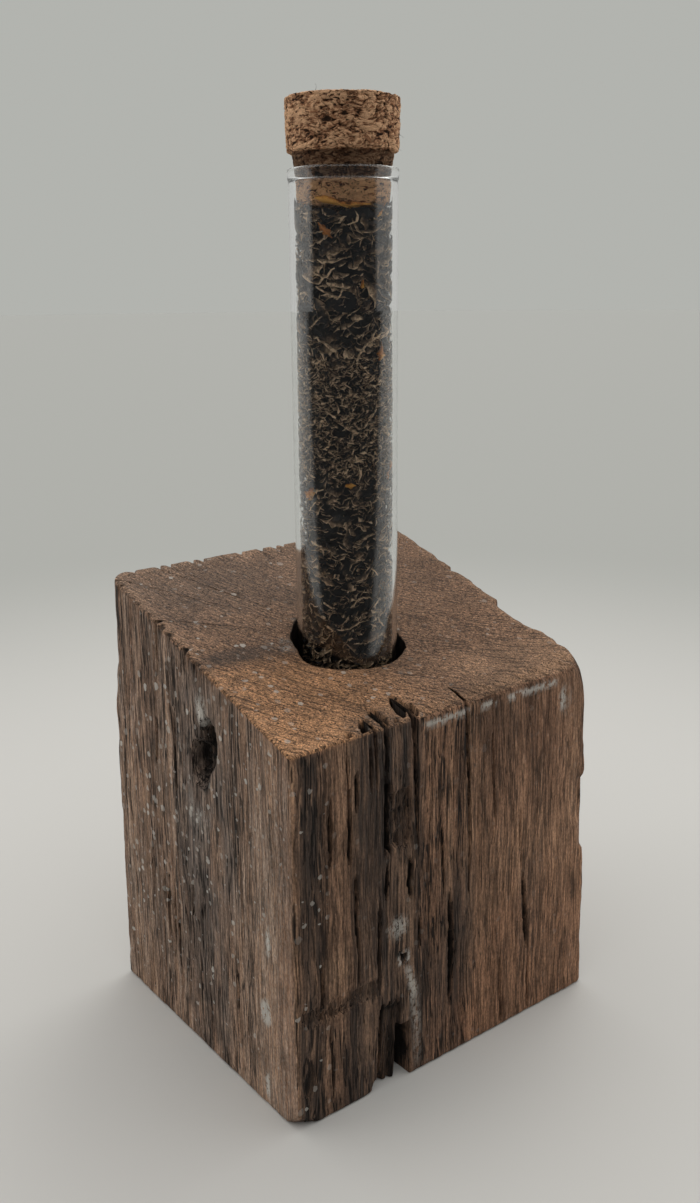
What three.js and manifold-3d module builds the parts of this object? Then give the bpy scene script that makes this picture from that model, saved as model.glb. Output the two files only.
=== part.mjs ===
// Test tube vase: a corked glass test tube of dried leaf tea, standing in a socket
// bored into a block of reclaimed oak whose end-grain top is sawn on a slope.
// Millimetres, +Z up. The origin is the centre of the block's foot.
// +X runs along the cracked front face, +Y from the front towards the high back edge.

import * as THREE from 'three';
import { RoundedBoxGeometry } from 'three/addons/geometries/RoundedBoxGeometry.js';
import { mergeVertices } from 'three/addons/utils/BufferGeometryUtils.js';
import Module from 'manifold-3d';

const wasm = await Module();
wasm.setup();

// Oak block
const BLOCK_WIDTH = 97.6;
const BLOCK_DEPTH = 83.9;
const FRONT_HEIGHT = 94.3;
const BACK_HEIGHT = 117.1;
const EDGE_WEAR = 1.4;
const RIGHT_TOP_INSET = 1.7;
const FRONT_TOP_INSET = 2.3;
const LEFT_TOP_INSET = 1.6;

// Socket for the tube, placed from the front left corner
const SOCKET_FROM_LEFT = 42.4;
const SOCKET_FROM_FRONT = 35.0;
const SOCKET_DEPTH = 39.8;
const SOCKET_CLEARANCE = 1.8;

// Glass test tube
const TUBE_DIAMETER = 25.0;
const TUBE_LENGTH = 150.0;
const TUBE_WALL = 1.1;
const LIP_HEIGHT = 3.6;
const LIP_THICKENING = 0.15;
const LIP_ROUNDING = 0.45;

// Cork stopper
const CORK_HEAD_OVERHANG = 0.1;
const CORK_HEAD_FLARE = 0.25;
const CORK_HEAD_HEIGHT = 11.3;
const CORK_SHOULDER = 0.95;
const CORK_NECK = 3.4;
const CORK_IN_TUBE = 8.6;
const CORK_PLUG_TAPER = 0.45;
const CORK_EDGE = 1.7;
const CORK_HEAD_EDGE = 0.5;

// Tea
const LEAF_BAND = 1.1;
const LEAF_THICKNESS = 0.5;
const LEAF_PITCH = 2.2;
const LEAF_REACH = 8.8;
const LEAF_BELOW_MOUTH = 8.3;

// Running gap between pieces that touch on the real object
const GAP = 0.3;

const socketX = SOCKET_FROM_LEFT - BLOCK_WIDTH / 2;
const socketY = SOCKET_FROM_FRONT - BLOCK_DEPTH / 2;
const topSlope = (BACK_HEIGHT - FRONT_HEIGHT) / BLOCK_DEPTH;
const topAt = (fromFront) => FRONT_HEIGHT + topSlope * fromFront;
const socketFloor = topAt(SOCKET_FROM_FRONT) - SOCKET_DEPTH;
const tubeRadius = TUBE_DIAMETER / 2;
const boreRadius = tubeRadius - TUBE_WALL;
const lipRadius = boreRadius - LIP_THICKENING;
const tubeFoot = socketFloor + GAP;
const tubeRim = tubeFoot + TUBE_LENGTH;
const plugFoot = tubeRim - CORK_IN_TUBE;
const socketRadius = tubeRadius + SOCKET_CLEARANCE;

const oak = new THREE.MeshStandardMaterial({ color: 0x5d4636, roughness: 0.85, metalness: 0 });
const glass = new THREE.MeshStandardMaterial({
  color: 0xdfe6e4, roughness: 0.05, metalness: 0, transparent: true, opacity: 0.35,
});
const cork = new THREE.MeshStandardMaterial({ color: 0x9a7350, roughness: 0.95, metalness: 0 });
const tea = new THREE.MeshStandardMaterial({ color: 0x2b231b, roughness: 0.8, metalness: 0 });
const leafBrown = new THREE.MeshStandardMaterial({ color: 0x4a3b2a, roughness: 0.75, metalness: 0 });
const stemTan = new THREE.MeshStandardMaterial({ color: 0x8a7554, roughness: 0.8, metalness: 0 });
const petalOrange = new THREE.MeshStandardMaterial({ color: 0xc98a2c, roughness: 0.7, metalness: 0 });

const vase = new THREE.Group();

function addPiece(name, geometry, material) {
  const mesh = new THREE.Mesh(geometry, material);
  mesh.name = name;
  vase.add(mesh);
  return mesh;
}

// Solids for joining and cutting

function toSolid(geometry) {
  const bare = geometry.index ? geometry.toNonIndexed() : geometry.clone();
  bare.deleteAttribute('normal');
  bare.deleteAttribute('uv');
  const merged = mergeVertices(bare);
  const solidMesh = new wasm.Mesh({
    numProp: 3,
    vertProperties: new Float32Array(merged.attributes.position.array),
    triVerts: new Uint32Array(merged.index.array),
  });
  return new wasm.Manifold(solidMesh);
}

function toGeometry(solid) {
  const mesh = solid.getMesh();
  const geometry = new THREE.BufferGeometry();
  geometry.setAttribute('position', new THREE.BufferAttribute(mesh.vertProperties, 3));
  geometry.setIndex(new THREE.BufferAttribute(mesh.triVerts, 1));
  geometry.computeVertexNormals();
  return geometry;
}

function moveVertices(geometry, place) {
  const position = geometry.attributes.position;
  const point = new THREE.Vector3();
  for (let i = 0; i < position.count; i += 1) {
    point.fromBufferAttribute(position, i);
    place(point);
    position.setXYZ(i, point.x, point.y, point.z);
  }
  geometry.computeVertexNormals();
  return geometry;
}

// Oak block: a rough-sawn stick with worn arrises, its top sawn on a slope.
// The right and left faces lean in a little towards the top.

function wornBlock() {
  const box = new RoundedBoxGeometry(BLOCK_WIDTH, BLOCK_DEPTH, FRONT_HEIGHT, 2, EDGE_WEAR);
  box.translate(0, 0, FRONT_HEIGHT / 2);
  return moveVertices(box, (point) => {
    const right = point.x / BLOCK_WIDTH + 0.5;
    const back = point.y / BLOCK_DEPTH + 0.5;
    const up = point.z / FRONT_HEIGHT;
    point.z = up * topAt(back * BLOCK_DEPTH);
    point.x += up * ((1 - right) * back * LEFT_TOP_INSET - right * (1 - back) * RIGHT_TOP_INSET);
    point.y += up * right * (1 - back) * FRONT_TOP_INSET;
  });
}

// Marks are placed along the front face from its left end, and along the left
// face from its front end, both being the one front left corner.

const frontX = (fromLeft) => fromLeft - BLOCK_WIDTH / 2;
const leftY = (fromFront) => fromFront - BLOCK_DEPTH / 2;

// A drying crack: a thin cone frustum of lozenge section, widest at its upper end
function crackCut(x, y, low, high, width, depth) {
  const height = high - low;
  const cut = new THREE.CylinderGeometry(1, 0.25, height, 6);
  cut.rotateX(Math.PI / 2);
  cut.scale(width / 2, depth, 1);
  cut.translate(x, y, (low + high) / 2);
  return cut;
}

// A hollow rotted or torn out of a face
function hollowCut(x, y, z, sizeX, sizeY, sizeZ) {
  const cut = new THREE.IcosahedronGeometry(1, 1);
  cut.scale(sizeX, sizeY, sizeZ);
  cut.translate(x, y, z);
  return cut;
}

// A recess in the foot of the front face, deepest on the table and closing upwards
function footRecess(fromLeft, width, height, depth, depthAbove) {
  const proud = 3;
  const side = new THREE.Shape();
  side.moveTo(-proud, -proud);
  side.lineTo(depth, -proud);
  side.lineTo(depthAbove, height);
  side.lineTo(-proud, height);
  const cut = new THREE.ExtrudeGeometry(side, { depth: width, bevelEnabled: false });
  // The profile's x runs into the block and its y runs up
  cut.applyMatrix4(new THREE.Matrix4().set(
    0, 0, 1, frontX(fromLeft),
    1, 0, 0, leftY(0),
    0, 1, 0, 0,
    0, 0, 0, 1,
  ));
  return cut;
}

function socketCut() {
  const above = BACK_HEIGHT + 5;
  const bore = new THREE.CylinderGeometry(socketRadius, socketRadius, above - socketFloor, 40);
  bore.rotateX(Math.PI / 2);
  bore.translate(socketX, socketY, (above + socketFloor) / 2);
  return bore;
}

function frontFaceCuts() {
  const top = FRONT_HEIGHT + 6;
  const face = leftY(0);
  const lean = (fromLeft, z) => face + (fromLeft / BLOCK_WIDTH) * (z / FRONT_HEIGHT) * FRONT_TOP_INSET;
  return [
    crackCut(frontX(27.2), lean(27.2, top), 66, top, 1.7, 8),
    crackCut(frontX(36.0), lean(36.0, top), 72, top, 1.5, 8),
    crackCut(frontX(53.2), lean(53.2, top), 50, top, 1.3, 7),
    crackCut(frontX(47.4), lean(47.4, 30), 14, 44, 1.6, 4),
    crackCut(frontX(73.6), lean(73.6, 30), 19, 41, 1.4, 4),
    hollowCut(frontX(30.2), lean(30.2, 70) - 0.6, 70.5, 3.9, 3.4, 8.2),
    hollowCut(frontX(33.2), lean(33.2, 54) - 0.4, 53.5, 1.6, 2.2, 5.2),
    hollowCut(frontX(32.3), lean(32.3, 33), 33.5, 1.0, 4.0, 1.0),
    footRecess(24.4, 3.9, 21, 13, 5),
    footRecess(28.0, 3.0, 20, 6, 1.5),
    footRecess(30.5, 3.5, 14, 13, 10),
  ];
}

// Torn notches where the cracks reach the sawn top
function topEdgeTears() {
  const tears = [
    { fromLeft: 17.0, fromFront: 0.4, halfWidth: 1.1, halfLength: 1.6 },
    { fromLeft: 22.2, fromFront: 1.4, halfWidth: 1.5, halfLength: 3.2 },
    { fromLeft: 27.2, fromFront: 4.2, halfWidth: 1.2, halfLength: 3.0 },
    { fromLeft: 34.6, fromFront: 6.4, halfWidth: 1.1, halfLength: 4.2 },
  ];
  const depth = 5;
  return tears.map((tear) => hollowCut(
    frontX(tear.fromLeft), leftY(tear.fromFront), topAt(tear.fromFront),
    tear.halfWidth, tear.halfLength, depth,
  ));
}

function leftFaceCuts() {
  const face = frontX(0);
  return [
    hollowCut(face - 0.4, leftY(35.2), 84.5, 5.6, 4.6, 8.4),
    hollowCut(face - 0.4, leftY(38.4), 79.5, 4.2, 4.4, 6.6),
  ];
}

// Bites broken out of the right-hand top edge
function rightEdgeBites() {
  const edge = BLOCK_WIDTH / 2 - RIGHT_TOP_INSET / 2;
  const bites = [
    { fromFront: 28.0, depth: 3.2, halfLength: 6.0, halfHeight: 8 },
    { fromFront: 21.0, depth: 2.2, halfLength: 3.6, halfHeight: 6 },
    { fromFront: 53.5, depth: 1.8, halfLength: 2.2, halfHeight: 5 },
  ];
  return bites.map((bite) => hollowCut(
    edge + 0.2, leftY(bite.fromFront), topAt(bite.fromFront),
    bite.depth, bite.halfLength, bite.halfHeight,
  ));
}

// Small nicks along the high back edge
function backEdgeNicks() {
  const fromLeft = [7, 14.5, 25, 40.5, 52.5];
  const halfWidth = 0.8;
  const depth = 1.6;
  const halfHeight = 3;
  return fromLeft.map((distance) => hollowCut(
    frontX(distance), BLOCK_DEPTH / 2, BACK_HEIGHT, halfWidth, depth, halfHeight,
  ));
}

// The corner that stands nearest the front is broken away at its foot
function brokenCorner() {
  const alongFront = 8;
  const alongLeft = 5.5;
  const up = 4.5;
  const chip = new THREE.OctahedronGeometry(1);
  chip.scale(alongFront, alongLeft, up);
  chip.translate(frontX(0), leftY(0), 0);
  return chip;
}

// A splinter torn from the left of the socket's mouth
function socketSplinter() {
  const x = socketX - socketRadius;
  const y = socketY - socketRadius * 0.28;
  return hollowCut(x, y, topAt(SOCKET_FROM_FRONT), 3.0, 2.0, 6.0);
}

function woodBlock() {
  const cuts = [
    socketCut(),
    ...frontFaceCuts(),
    ...topEdgeTears(),
    ...leftFaceCuts(),
    ...rightEdgeBites(),
    ...backEdgeNicks(),
    brokenCorner(),
    socketSplinter(),
  ];
  const block = cuts.reduce((solid, cut) => solid.subtract(toSolid(cut)), toSolid(wornBlock()));
  return toGeometry(block);
}

addPiece('wood_block', woodBlock(), oak);

// Turned pieces stand on the socket's axis

function turned(profile, segments) {
  const geometry = new THREE.LatheGeometry(profile, segments);
  geometry.rotateX(Math.PI / 2);
  geometry.translate(socketX, socketY, 0);
  return geometry;
}

function arcPoints(centreRadius, centreHeight, radius, fromAngle, toAngle, steps) {
  const points = [];
  for (let i = 0; i <= steps; i += 1) {
    const angle = fromAngle + ((toAngle - fromAngle) * i) / steps;
    points.push(new THREE.Vector2(
      centreRadius + radius * Math.cos(angle),
      centreHeight + radius * Math.sin(angle),
    ));
  }
  return points;
}

// The first and last points of a profile lie exactly on the axis
function onAxis(points) {
  points[0].x = 0;
  points[points.length - 1].x = 0;
  return points;
}

// Glass tube: round foot, straight wall, and a lip thickened inwards by the flame
function glassTube() {
  const footSteps = 7;
  const bend = tubeFoot + tubeRadius;
  const outerFoot = arcPoints(0, bend, tubeRadius, -Math.PI / 2, 0, footSteps);
  const innerFoot = arcPoints(0, bend, boreRadius, 0, -Math.PI / 2, footSteps);
  const lip = [
    new THREE.Vector2(tubeRadius, tubeRim - LIP_ROUNDING),
    new THREE.Vector2(tubeRadius - LIP_ROUNDING, tubeRim),
    new THREE.Vector2(lipRadius + LIP_ROUNDING, tubeRim),
    new THREE.Vector2(lipRadius, tubeRim - LIP_ROUNDING),
    new THREE.Vector2(lipRadius, tubeRim - LIP_HEIGHT),
    new THREE.Vector2(boreRadius, tubeRim - LIP_HEIGHT - 1),
  ];
  return turned(onAxis([...outerFoot, ...lip, ...innerFoot]), 40);
}

addPiece('glass_tube', glassTube(), glass);

// Cork stopper: a wide head over a tapered plug with a rounded foot.
// The plug fills the lip and stands proud of it, so the head clears the rim.
const plugAtRim = lipRadius - GAP;
const plugAtHead = plugAtRim + CORK_PLUG_TAPER + GAP / 2;
const plugAtFoot = plugAtRim - CORK_PLUG_TAPER;

function corkStopper() {
  const headFoot = tubeRim + CORK_NECK;
  const headTop = headFoot + CORK_HEAD_HEIGHT;
  const headRadius = Math.max(tubeRadius + CORK_HEAD_OVERHANG, plugAtHead + CORK_SHOULDER);
  const topRadius = headRadius + CORK_HEAD_FLARE;
  const foot = arcPoints(plugAtFoot - CORK_EDGE, plugFoot + CORK_EDGE, CORK_EDGE, -Math.PI / 2, 0, 4);
  const profile = [
    new THREE.Vector2(0, plugFoot),
    ...foot,
    new THREE.Vector2(plugAtRim, tubeRim),
    new THREE.Vector2(plugAtHead, headFoot),
    new THREE.Vector2(headRadius, headFoot),
    new THREE.Vector2(topRadius, headTop - CORK_HEAD_EDGE),
    new THREE.Vector2(topRadius - CORK_HEAD_EDGE, headTop),
    new THREE.Vector2(0, headTop),
  ];
  return turned(onAxis(profile), 36);
}

addPiece('cork_stopper', corkStopper(), cork);

// Tea: the packed fill, full width where the block hides it and drawn in above,
// where the larger leaves, stems and petals lie between it and the glass.
const leafOuter = boreRadius - GAP;
const fillRadius = leafOuter - LEAF_BAND - GAP;
const bandLow = socketFloor + SOCKET_DEPTH - LEAF_BELOW_MOUTH;
const fillTop = plugFoot - GAP;

function leafFill() {
  const bend = tubeFoot + tubeRadius;
  const crown = 1.5;
  const rings = 22;
  const foot = arcPoints(0, bend, leafOuter, -Math.PI / 2, 0, 5);
  const upright = [];
  for (let i = 0; i <= rings; i += 1) {
    const height = bandLow + ((fillTop - crown - bandLow) * i) / rings;
    upright.push(new THREE.Vector2(fillRadius, height));
  }
  const profile = [
    ...foot,
    new THREE.Vector2(leafOuter, bandLow - 1),
    ...upright,
    new THREE.Vector2(fillRadius - 1.6, fillTop),
    new THREE.Vector2(0, fillTop),
  ];
  const fill = turned(onAxis(profile), 20);
  // Lumps hollow the packed leaf by up to half a millimetre where it shows
  return moveVertices(fill, (point) => {
    const bearing = Math.atan2(point.y - socketY, point.x - socketX);
    const lump = 0.5 + 0.5 * Math.sin(3 * bearing + point.z * 0.9) * Math.cos(2 * bearing - point.z * 0.37);
    const shown = point.z > bandLow && point.z < fillTop - 0.5 ? 1 : 0;
    const reach = Math.hypot(point.x - socketX, point.y - socketY);
    const factor = reach > 1 ? 1 - (shown * 0.5 * lump) / reach : 1;
    point.x = socketX + (point.x - socketX) * factor;
    point.y = socketY + (point.y - socketY) * factor;
  });
}

addPiece('leaf_fill', leafFill(), tea);

// Pieces of tea are shaped flat (length along x, width along y, thickness along z)
// and then wrapped round the fill at a height and bearing, turned by their tilt.

const bandMiddle = leafOuter - LEAF_BAND / 2;

function wrapped(flat, height, bearing, tilt) {
  const turn = THREE.MathUtils.degToRad(tilt);
  const start = THREE.MathUtils.degToRad(bearing);
  return moveVertices(flat, (point) => {
    const round = point.x * Math.cos(turn) - point.y * Math.sin(turn);
    const rise = point.x * Math.sin(turn) + point.y * Math.cos(turn);
    const radius = bandMiddle + point.z;
    const angle = start + round / bandMiddle;
    point.set(socketX + radius * Math.cos(angle), socketY + radius * Math.sin(angle), height + rise);
  });
}

// A dried leaf or petal: a pointed blade with a wavy surface
function blade(length, width, thickness, waves) {
  const sweep = (LEAF_BAND - thickness) / 2;
  const flat = new THREE.BoxGeometry(length, width, thickness, 6, 2, 1);
  return moveVertices(flat, (point) => {
    const along = (2 * point.x) / length;
    const across = (2 * point.y) / width;
    point.y *= 0.15 + 0.85 * Math.sqrt(Math.max(0, 1 - along * along));
    point.z += sweep * Math.sin(waves * along + across);
  });
}

// A snapped stalk, slightly bowed
function stalk(length, diameter) {
  const flat = new THREE.CylinderGeometry(diameter / 2, diameter * 0.4, length, 6, 3);
  flat.rotateZ(-Math.PI / 2);
  return moveVertices(flat, (point) => {
    const along = (2 * point.x) / length;
    point.y += 0.5 * (1 - along * along);
  });
}

function budGeometry(length, width) {
  const flat = new THREE.SphereGeometry(0.5, 8, 6);
  flat.scale(length, width, LEAF_BAND * 0.95);
  return flat;
}

// Petals and flakes that stand out, with their height below the rim and bearing.
// Bearings count anticlockwise from +X; 233 faces the viewer of the front corner.
const petals = [
  { name: 'yellow_petal_top', below: 8.9, bearing: 236, tilt: -8, length: 10.4, width: 2.2 },
  { name: 'yellow_petal_side', below: 9.2, bearing: 281, tilt: 50, length: 4.2, width: 1.4 },
  { name: 'orange_petal_upper', below: 13.8, bearing: 211, tilt: 70, length: 4.2, width: 3.0 },
  { name: 'orange_petal_mid', below: 25.2, bearing: 255, tilt: 10, length: 3.4, width: 2.2 },
  { name: 'orange_petal_right', below: 39.8, bearing: 280, tilt: 80, length: 4.4, width: 2.8 },
  { name: 'orange_petal_left', below: 72.6, bearing: 184, tilt: 60, length: 3.6, width: 2.6 },
  { name: 'orange_petal_low', below: 67.6, bearing: 296, tilt: 75, length: 4.6, width: 2.6 },
  { name: 'yellow_fleck', below: 70.2, bearing: 238, tilt: 0, length: 2.4, width: 1.8 },
  { name: 'yellow_petal_back', below: 31.0, bearing: 62, tilt: 35, length: 8.0, width: 2.6 },
  { name: 'orange_petal_back', below: 88.0, bearing: 110, tilt: -30, length: 6.0, width: 2.8 },
];
const PETAL_THICKNESS = 0.3;

petals.forEach((petal) => {
  const flat = blade(petal.length, petal.width, PETAL_THICKNESS, 2.2);
  // The topmost petals are pressed between the plug's rounded foot and the glass
  if (petal.below < CORK_IN_TUBE + CORK_EDGE) flat.translate(0, 0, (LEAF_BAND - PETAL_THICKNESS) * 0.2);
  addPiece(petal.name, wrapped(flat, tubeRim - petal.below, petal.bearing, petal.tilt), petalOrange);
});

const bud = { below: 32.4, bearing: 238, length: 3.4, width: 2.6 };
addPiece(
  'tea_bud',
  wrapped(budGeometry(bud.length, bud.width), tubeRim - bud.below, bud.bearing, 20),
  leafBrown,
);

// The larger leaves and stalks lie along a spiral that climbs the fill. A place is
// passed over where its piece would reach one of the petals or the bud.
const featured = [...petals, bud].map((piece) => ({
  height: tubeRim - piece.below, bearing: piece.bearing, reach: piece.length / 2,
}));

function isFree(height, bearing, reach) {
  return featured.every((piece) => {
    const apart = THREE.MathUtils.euclideanModulo(bearing - piece.bearing + 180, 360) - 180;
    const round = THREE.MathUtils.degToRad(apart) * bandMiddle;
    return Math.hypot(round, height - piece.height) > piece.reach + reach + GAP;
  });
}

const SPIRAL_TURN = 137.5;
const MOST_LEAVES = 30;
const MOST_STALKS = 12;
const spiralLow = bandLow + LEAF_REACH / 2 + GAP;
const spiralHigh = fillTop - LEAF_REACH / 2;
let leafCount = 0;
let stalkCount = 0;
for (let place = 0; spiralLow + place * LEAF_PITCH < spiralHigh; place += 1) {
  const height = spiralLow + place * LEAF_PITCH;
  const bearing = (place * SPIRAL_TURN) % 360;
  const tilt = (place * 67) % 180;
  const isStalk = place % 4 === 3;
  const length = LEAF_REACH * (0.72 + 0.28 * Math.sin(place * 1.7) ** 2);
  if (isFree(height, bearing, length / 2)) {
    if (isStalk && stalkCount < MOST_STALKS) {
      stalkCount += 1;
      const flat = stalk(length, 0.9);
      addPiece(`tea_stalk_${stalkCount}`, wrapped(flat, height, bearing, tilt), stemTan);
    } else if (leafCount < MOST_LEAVES) {
      leafCount += 1;
      const width = 2.4 + 0.9 * Math.cos(place * 2.3);
      const flat = blade(length, width, LEAF_THICKNESS, 2.8);
      addPiece(`tea_leaf_${leafCount}`, wrapped(flat, height, bearing, tilt), leafBrown);
    }
  }
}

export default vase;
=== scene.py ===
import bpy
import math
import numpy as np
from mathutils import Matrix


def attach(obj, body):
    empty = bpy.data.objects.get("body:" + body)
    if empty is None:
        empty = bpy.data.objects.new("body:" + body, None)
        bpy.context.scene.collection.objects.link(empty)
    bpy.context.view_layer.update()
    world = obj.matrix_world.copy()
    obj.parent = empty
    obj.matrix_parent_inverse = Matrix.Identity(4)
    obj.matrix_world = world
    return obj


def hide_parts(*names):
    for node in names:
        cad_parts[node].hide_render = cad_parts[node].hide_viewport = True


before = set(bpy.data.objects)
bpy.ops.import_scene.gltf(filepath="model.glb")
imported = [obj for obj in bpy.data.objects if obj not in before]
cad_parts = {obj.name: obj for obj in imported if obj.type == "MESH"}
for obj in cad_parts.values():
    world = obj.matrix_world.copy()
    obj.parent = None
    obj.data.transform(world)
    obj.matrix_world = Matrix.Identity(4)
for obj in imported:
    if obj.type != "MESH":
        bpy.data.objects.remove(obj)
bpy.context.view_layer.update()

# Camera. The viewpoint was fitted to the edges of the tube, the cork and the block:
# off the front left corner, level with the cork, looking down by 16 degrees.

CAMERA_PLACE = (-0.1748, -0.2263, 0.1916)
CAMERA_BEARING = 37.67
CAMERA_DOWN = 15.87
CAMERA_ROLL = -0.485
CAMERA_LENS = 34.53
CAMERA_NEAREST = 0.01

camera = bpy.data.objects.new("camera", bpy.data.cameras.new("camera"))
bpy.context.scene.collection.objects.link(camera)
camera.data.lens = CAMERA_LENS
camera.data.clip_start = CAMERA_NEAREST
facing = Matrix.Rotation(math.radians(-CAMERA_BEARING), 4, "Z")
tipped = Matrix.Rotation(math.radians(90 - CAMERA_DOWN), 4, "X")
rolled = Matrix.Rotation(math.radians(CAMERA_ROLL), 4, "Z")
camera.matrix_world = Matrix.Translation(CAMERA_PLACE) @ facing @ tipped @ rolled
bpy.context.scene.camera = camera
bpy.context.scene.view_settings.view_transform = "Standard"

# Studio. A white light tent stands on a pale floor: sides that grow brighter towards
# the viewer, a grey back, a bright roof with a lamp behind it, and an open front that
# looks into a dark room under a pale ceiling.

FLOOR_RADIUS = 6.0
FLOOR_CORNERS = 96
FLOOR_NEAR_LIT = (0.585, 0.573, 0.552, 1)
FLOOR_FAR_DIMMED = (0.388, 0.391, 0.372, 1)
FLOOR_SIDES_LIT = (0.72, 0.71, 0.69, 1)
FLOOR_UNLIT = (0.05, 0.05, 0.05, 1)
BACKDROP = (0.448, 0.455, 0.428, 1)
TENT_BACK = (0.50, 0.50, 0.48, 1)
TENT_LEFT = (1.50, 1.47, 1.41, 1)
TENT_RIGHT = (1.00, 0.99, 0.96, 1)
TENT_ROOF = (1.10, 1.10, 1.08, 1)
BACK_LAMP = (2.6, 2.6, 2.5, 1)
CEILING = (0.95, 0.94, 0.91, 1)
DARK_ROOM = (0.09, 0.09, 0.09, 1)

floor_mesh = bpy.data.meshes.new("studio_floor")
floor_turns = [n * math.tau / FLOOR_CORNERS for n in range(FLOOR_CORNERS)]
floor_points = [(FLOOR_RADIUS * math.cos(turn), FLOOR_RADIUS * math.sin(turn), 0) for turn in floor_turns]
floor_mesh.from_pydata(floor_points, [], [tuple(range(FLOOR_CORNERS))])
floor = bpy.data.objects.new("studio_floor", floor_mesh)
bpy.context.scene.collection.objects.link(floor)


class Value:
    """An output of a node, to reckon with as with a number or a colour."""

    def __init__(self, nodes, socket):
        self.nodes = nodes
        self.socket = socket

    def __add__(self, other):
        return self.nodes.maths("ADD", self, other)

    def __sub__(self, other):
        return self.nodes.maths("SUBTRACT", self, other)

    def __rsub__(self, other):
        return self.nodes.maths("SUBTRACT", other, self)

    def __mul__(self, other):
        return self.nodes.maths("MULTIPLY", self, other)

    def __truediv__(self, other):
        return self.nodes.maths("DIVIDE", self, other)

    def ramp(self, low, high, bottom=0.0, top=1.0):
        """Goes smoothly from bottom to top while this value goes from low to high."""
        node = self.nodes.add("ShaderNodeMapRange", interpolation_type="SMOOTHSTEP")
        for socket, number in zip(node.inputs, (self, low, high, bottom, top)):
            self.nodes.feed(socket, number)
        return Value(self.nodes, node.outputs[0])

    def lines(self, width):
        """Thin lines where a noise passes through its middle value."""
        return self.nodes.maths("ABSOLUTE", self - 0.5).ramp(width, width * 0.35)

    def graded(self, colour, *steps):
        """A colour that turns into the next while this value passes (low, high, next colour)."""
        for low, high, following in steps:
            colour = self.nodes.mix(self.ramp(low, high), colour, following)
        return colour

    def towards(self, colour, share):
        """This colour, mixed by a share from 0 to 1 with another."""
        return self.nodes.mix(share, self, colour)


class Nodes:
    """Adds nodes to one node tree in the order that they are used."""

    def __init__(self, tree):
        self.tree = tree

    def add(self, kind, inputs=None, **settings):
        node = self.tree.nodes.new(kind)
        for name, value in settings.items():
            setattr(node, name, value)
        for name, value in (inputs or {}).items():
            self.feed(node.inputs[name], value)
        return node

    def feed(self, socket, value):
        if isinstance(value, Value):
            self.tree.links.new(value.socket, socket)
        else:
            socket.default_value = value

    def split(self, kind, outputs, inputs=None, **settings):
        """Several outputs of a new node."""
        node = self.add(kind, inputs, **settings)
        return [Value(self, node.outputs[output]) for output in outputs]

    def read(self, kind, output, inputs=None, **settings):
        """One output of a new node."""
        return self.split(kind, [output], inputs, **settings)[0]

    def maths(self, operation, *numbers):
        return self.read("ShaderNodeMath", 0, dict(enumerate(numbers)), operation=operation)

    def vectors(self, operation, *places, output=0):
        return self.read("ShaderNodeVectorMath", output, dict(enumerate(places)), operation=operation)

    def mix(self, share, first, second, blend="MIX"):
        node = self.add("ShaderNodeMix", data_type="RGBA", blend_type=blend)
        for name, value in (("Factor", share), ("A", first), ("B", second)):
            self.feed(node.inputs[name], value)
        return Value(self, node.outputs["Result"])

    def place(self):
        return self.read("ShaderNodeTexCoord", "Object")

    def grain(self, scale, detail, roughness, stretch=(1, 1, 1), where=None, output="Fac", distortion=0.0):
        """Noise over the surface; a stretch below 1 draws it out along that axis."""
        mapped = self.read("ShaderNodeMapping", 0, {"Vector": where or self.place(), "Scale": stretch})
        settings = {"Vector": mapped, "Scale": scale, "Detail": detail, "Roughness": roughness}
        return self.read("ShaderNodeTexNoise", output, settings | {"Distortion": distortion})

    def painted(self, name):
        """A layer painted on the points of the mesh."""
        return self.read("ShaderNodeAttribute", "Fac", attribute_name=name)


def material_for(name, finish):
    """A material with its finish set on the shader's own sockets."""
    material = bpy.data.materials.new(name)
    material.use_nodes = True
    material.node_tree.nodes.clear()
    nodes = Nodes(material.node_tree)
    output = nodes.add("ShaderNodeOutputMaterial")
    surface = nodes.add("ShaderNodeBsdfPrincipled", finish)
    material.node_tree.links.new(surface.outputs[0], output.inputs["Surface"])
    return material, nodes, surface


VIEWER_SIDE = (-math.sin(math.radians(CAMERA_BEARING)), -math.cos(math.radians(CAMERA_BEARING)), 0)
paper, sheet, paper_surface = material_for("studio_paper", {"Roughness": 0.9})
from_block = sheet.vectors("LENGTH", sheet.place(), output="Value")
before_block = sheet.vectors("DOT_PRODUCT", sheet.place(), VIEWER_SIDE, output="Value")
unseen = 1.0 - sheet.read("ShaderNodeLightPath", "Is Camera Ray")
beside_block = (before_block / from_block).ramp(-0.72, -0.45) * from_block.ramp(0.16, 0.30)
# Painted light on the floor: lighter near the block and darker further out, where it meets the backdrop's grey. Rays
# other than the camera's see painted light beside the block and painted shade in front of it.
floor_colour = from_block.graded(FLOOR_NEAR_LIT, (0.16, 0.55, FLOOR_FAR_DIMMED))
floor_colour = floor_colour.towards(FLOOR_SIDES_LIT, unseen * beside_block)
floor_colour = floor_colour.towards(FLOOR_UNLIT, unseen * before_block.ramp(0.15, 0.25))
sheet.feed(paper_surface.inputs["Base Color"], floor_colour)
floor_mesh.materials.append(paper)

world = bpy.data.worlds.new("light_tent")
world.use_nodes = True
world.node_tree.nodes.clear()
bpy.context.scene.world = world
sky = Nodes(world.node_tree)
direction = sky.read("ShaderNodeTexCoord", "Generated")


def lined_up(bearing, elevation):
    """How closely a direction lies to a bearing from the viewer, counted to the right."""
    turn = math.radians(CAMERA_BEARING + 180 - bearing)
    rise = math.radians(elevation)
    aim = (math.sin(turn) * math.cos(rise), math.cos(turn) * math.cos(rise), math.sin(rise))
    return sky.vectors("DOT_PRODUCT", direction, aim, output="Value")


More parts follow.
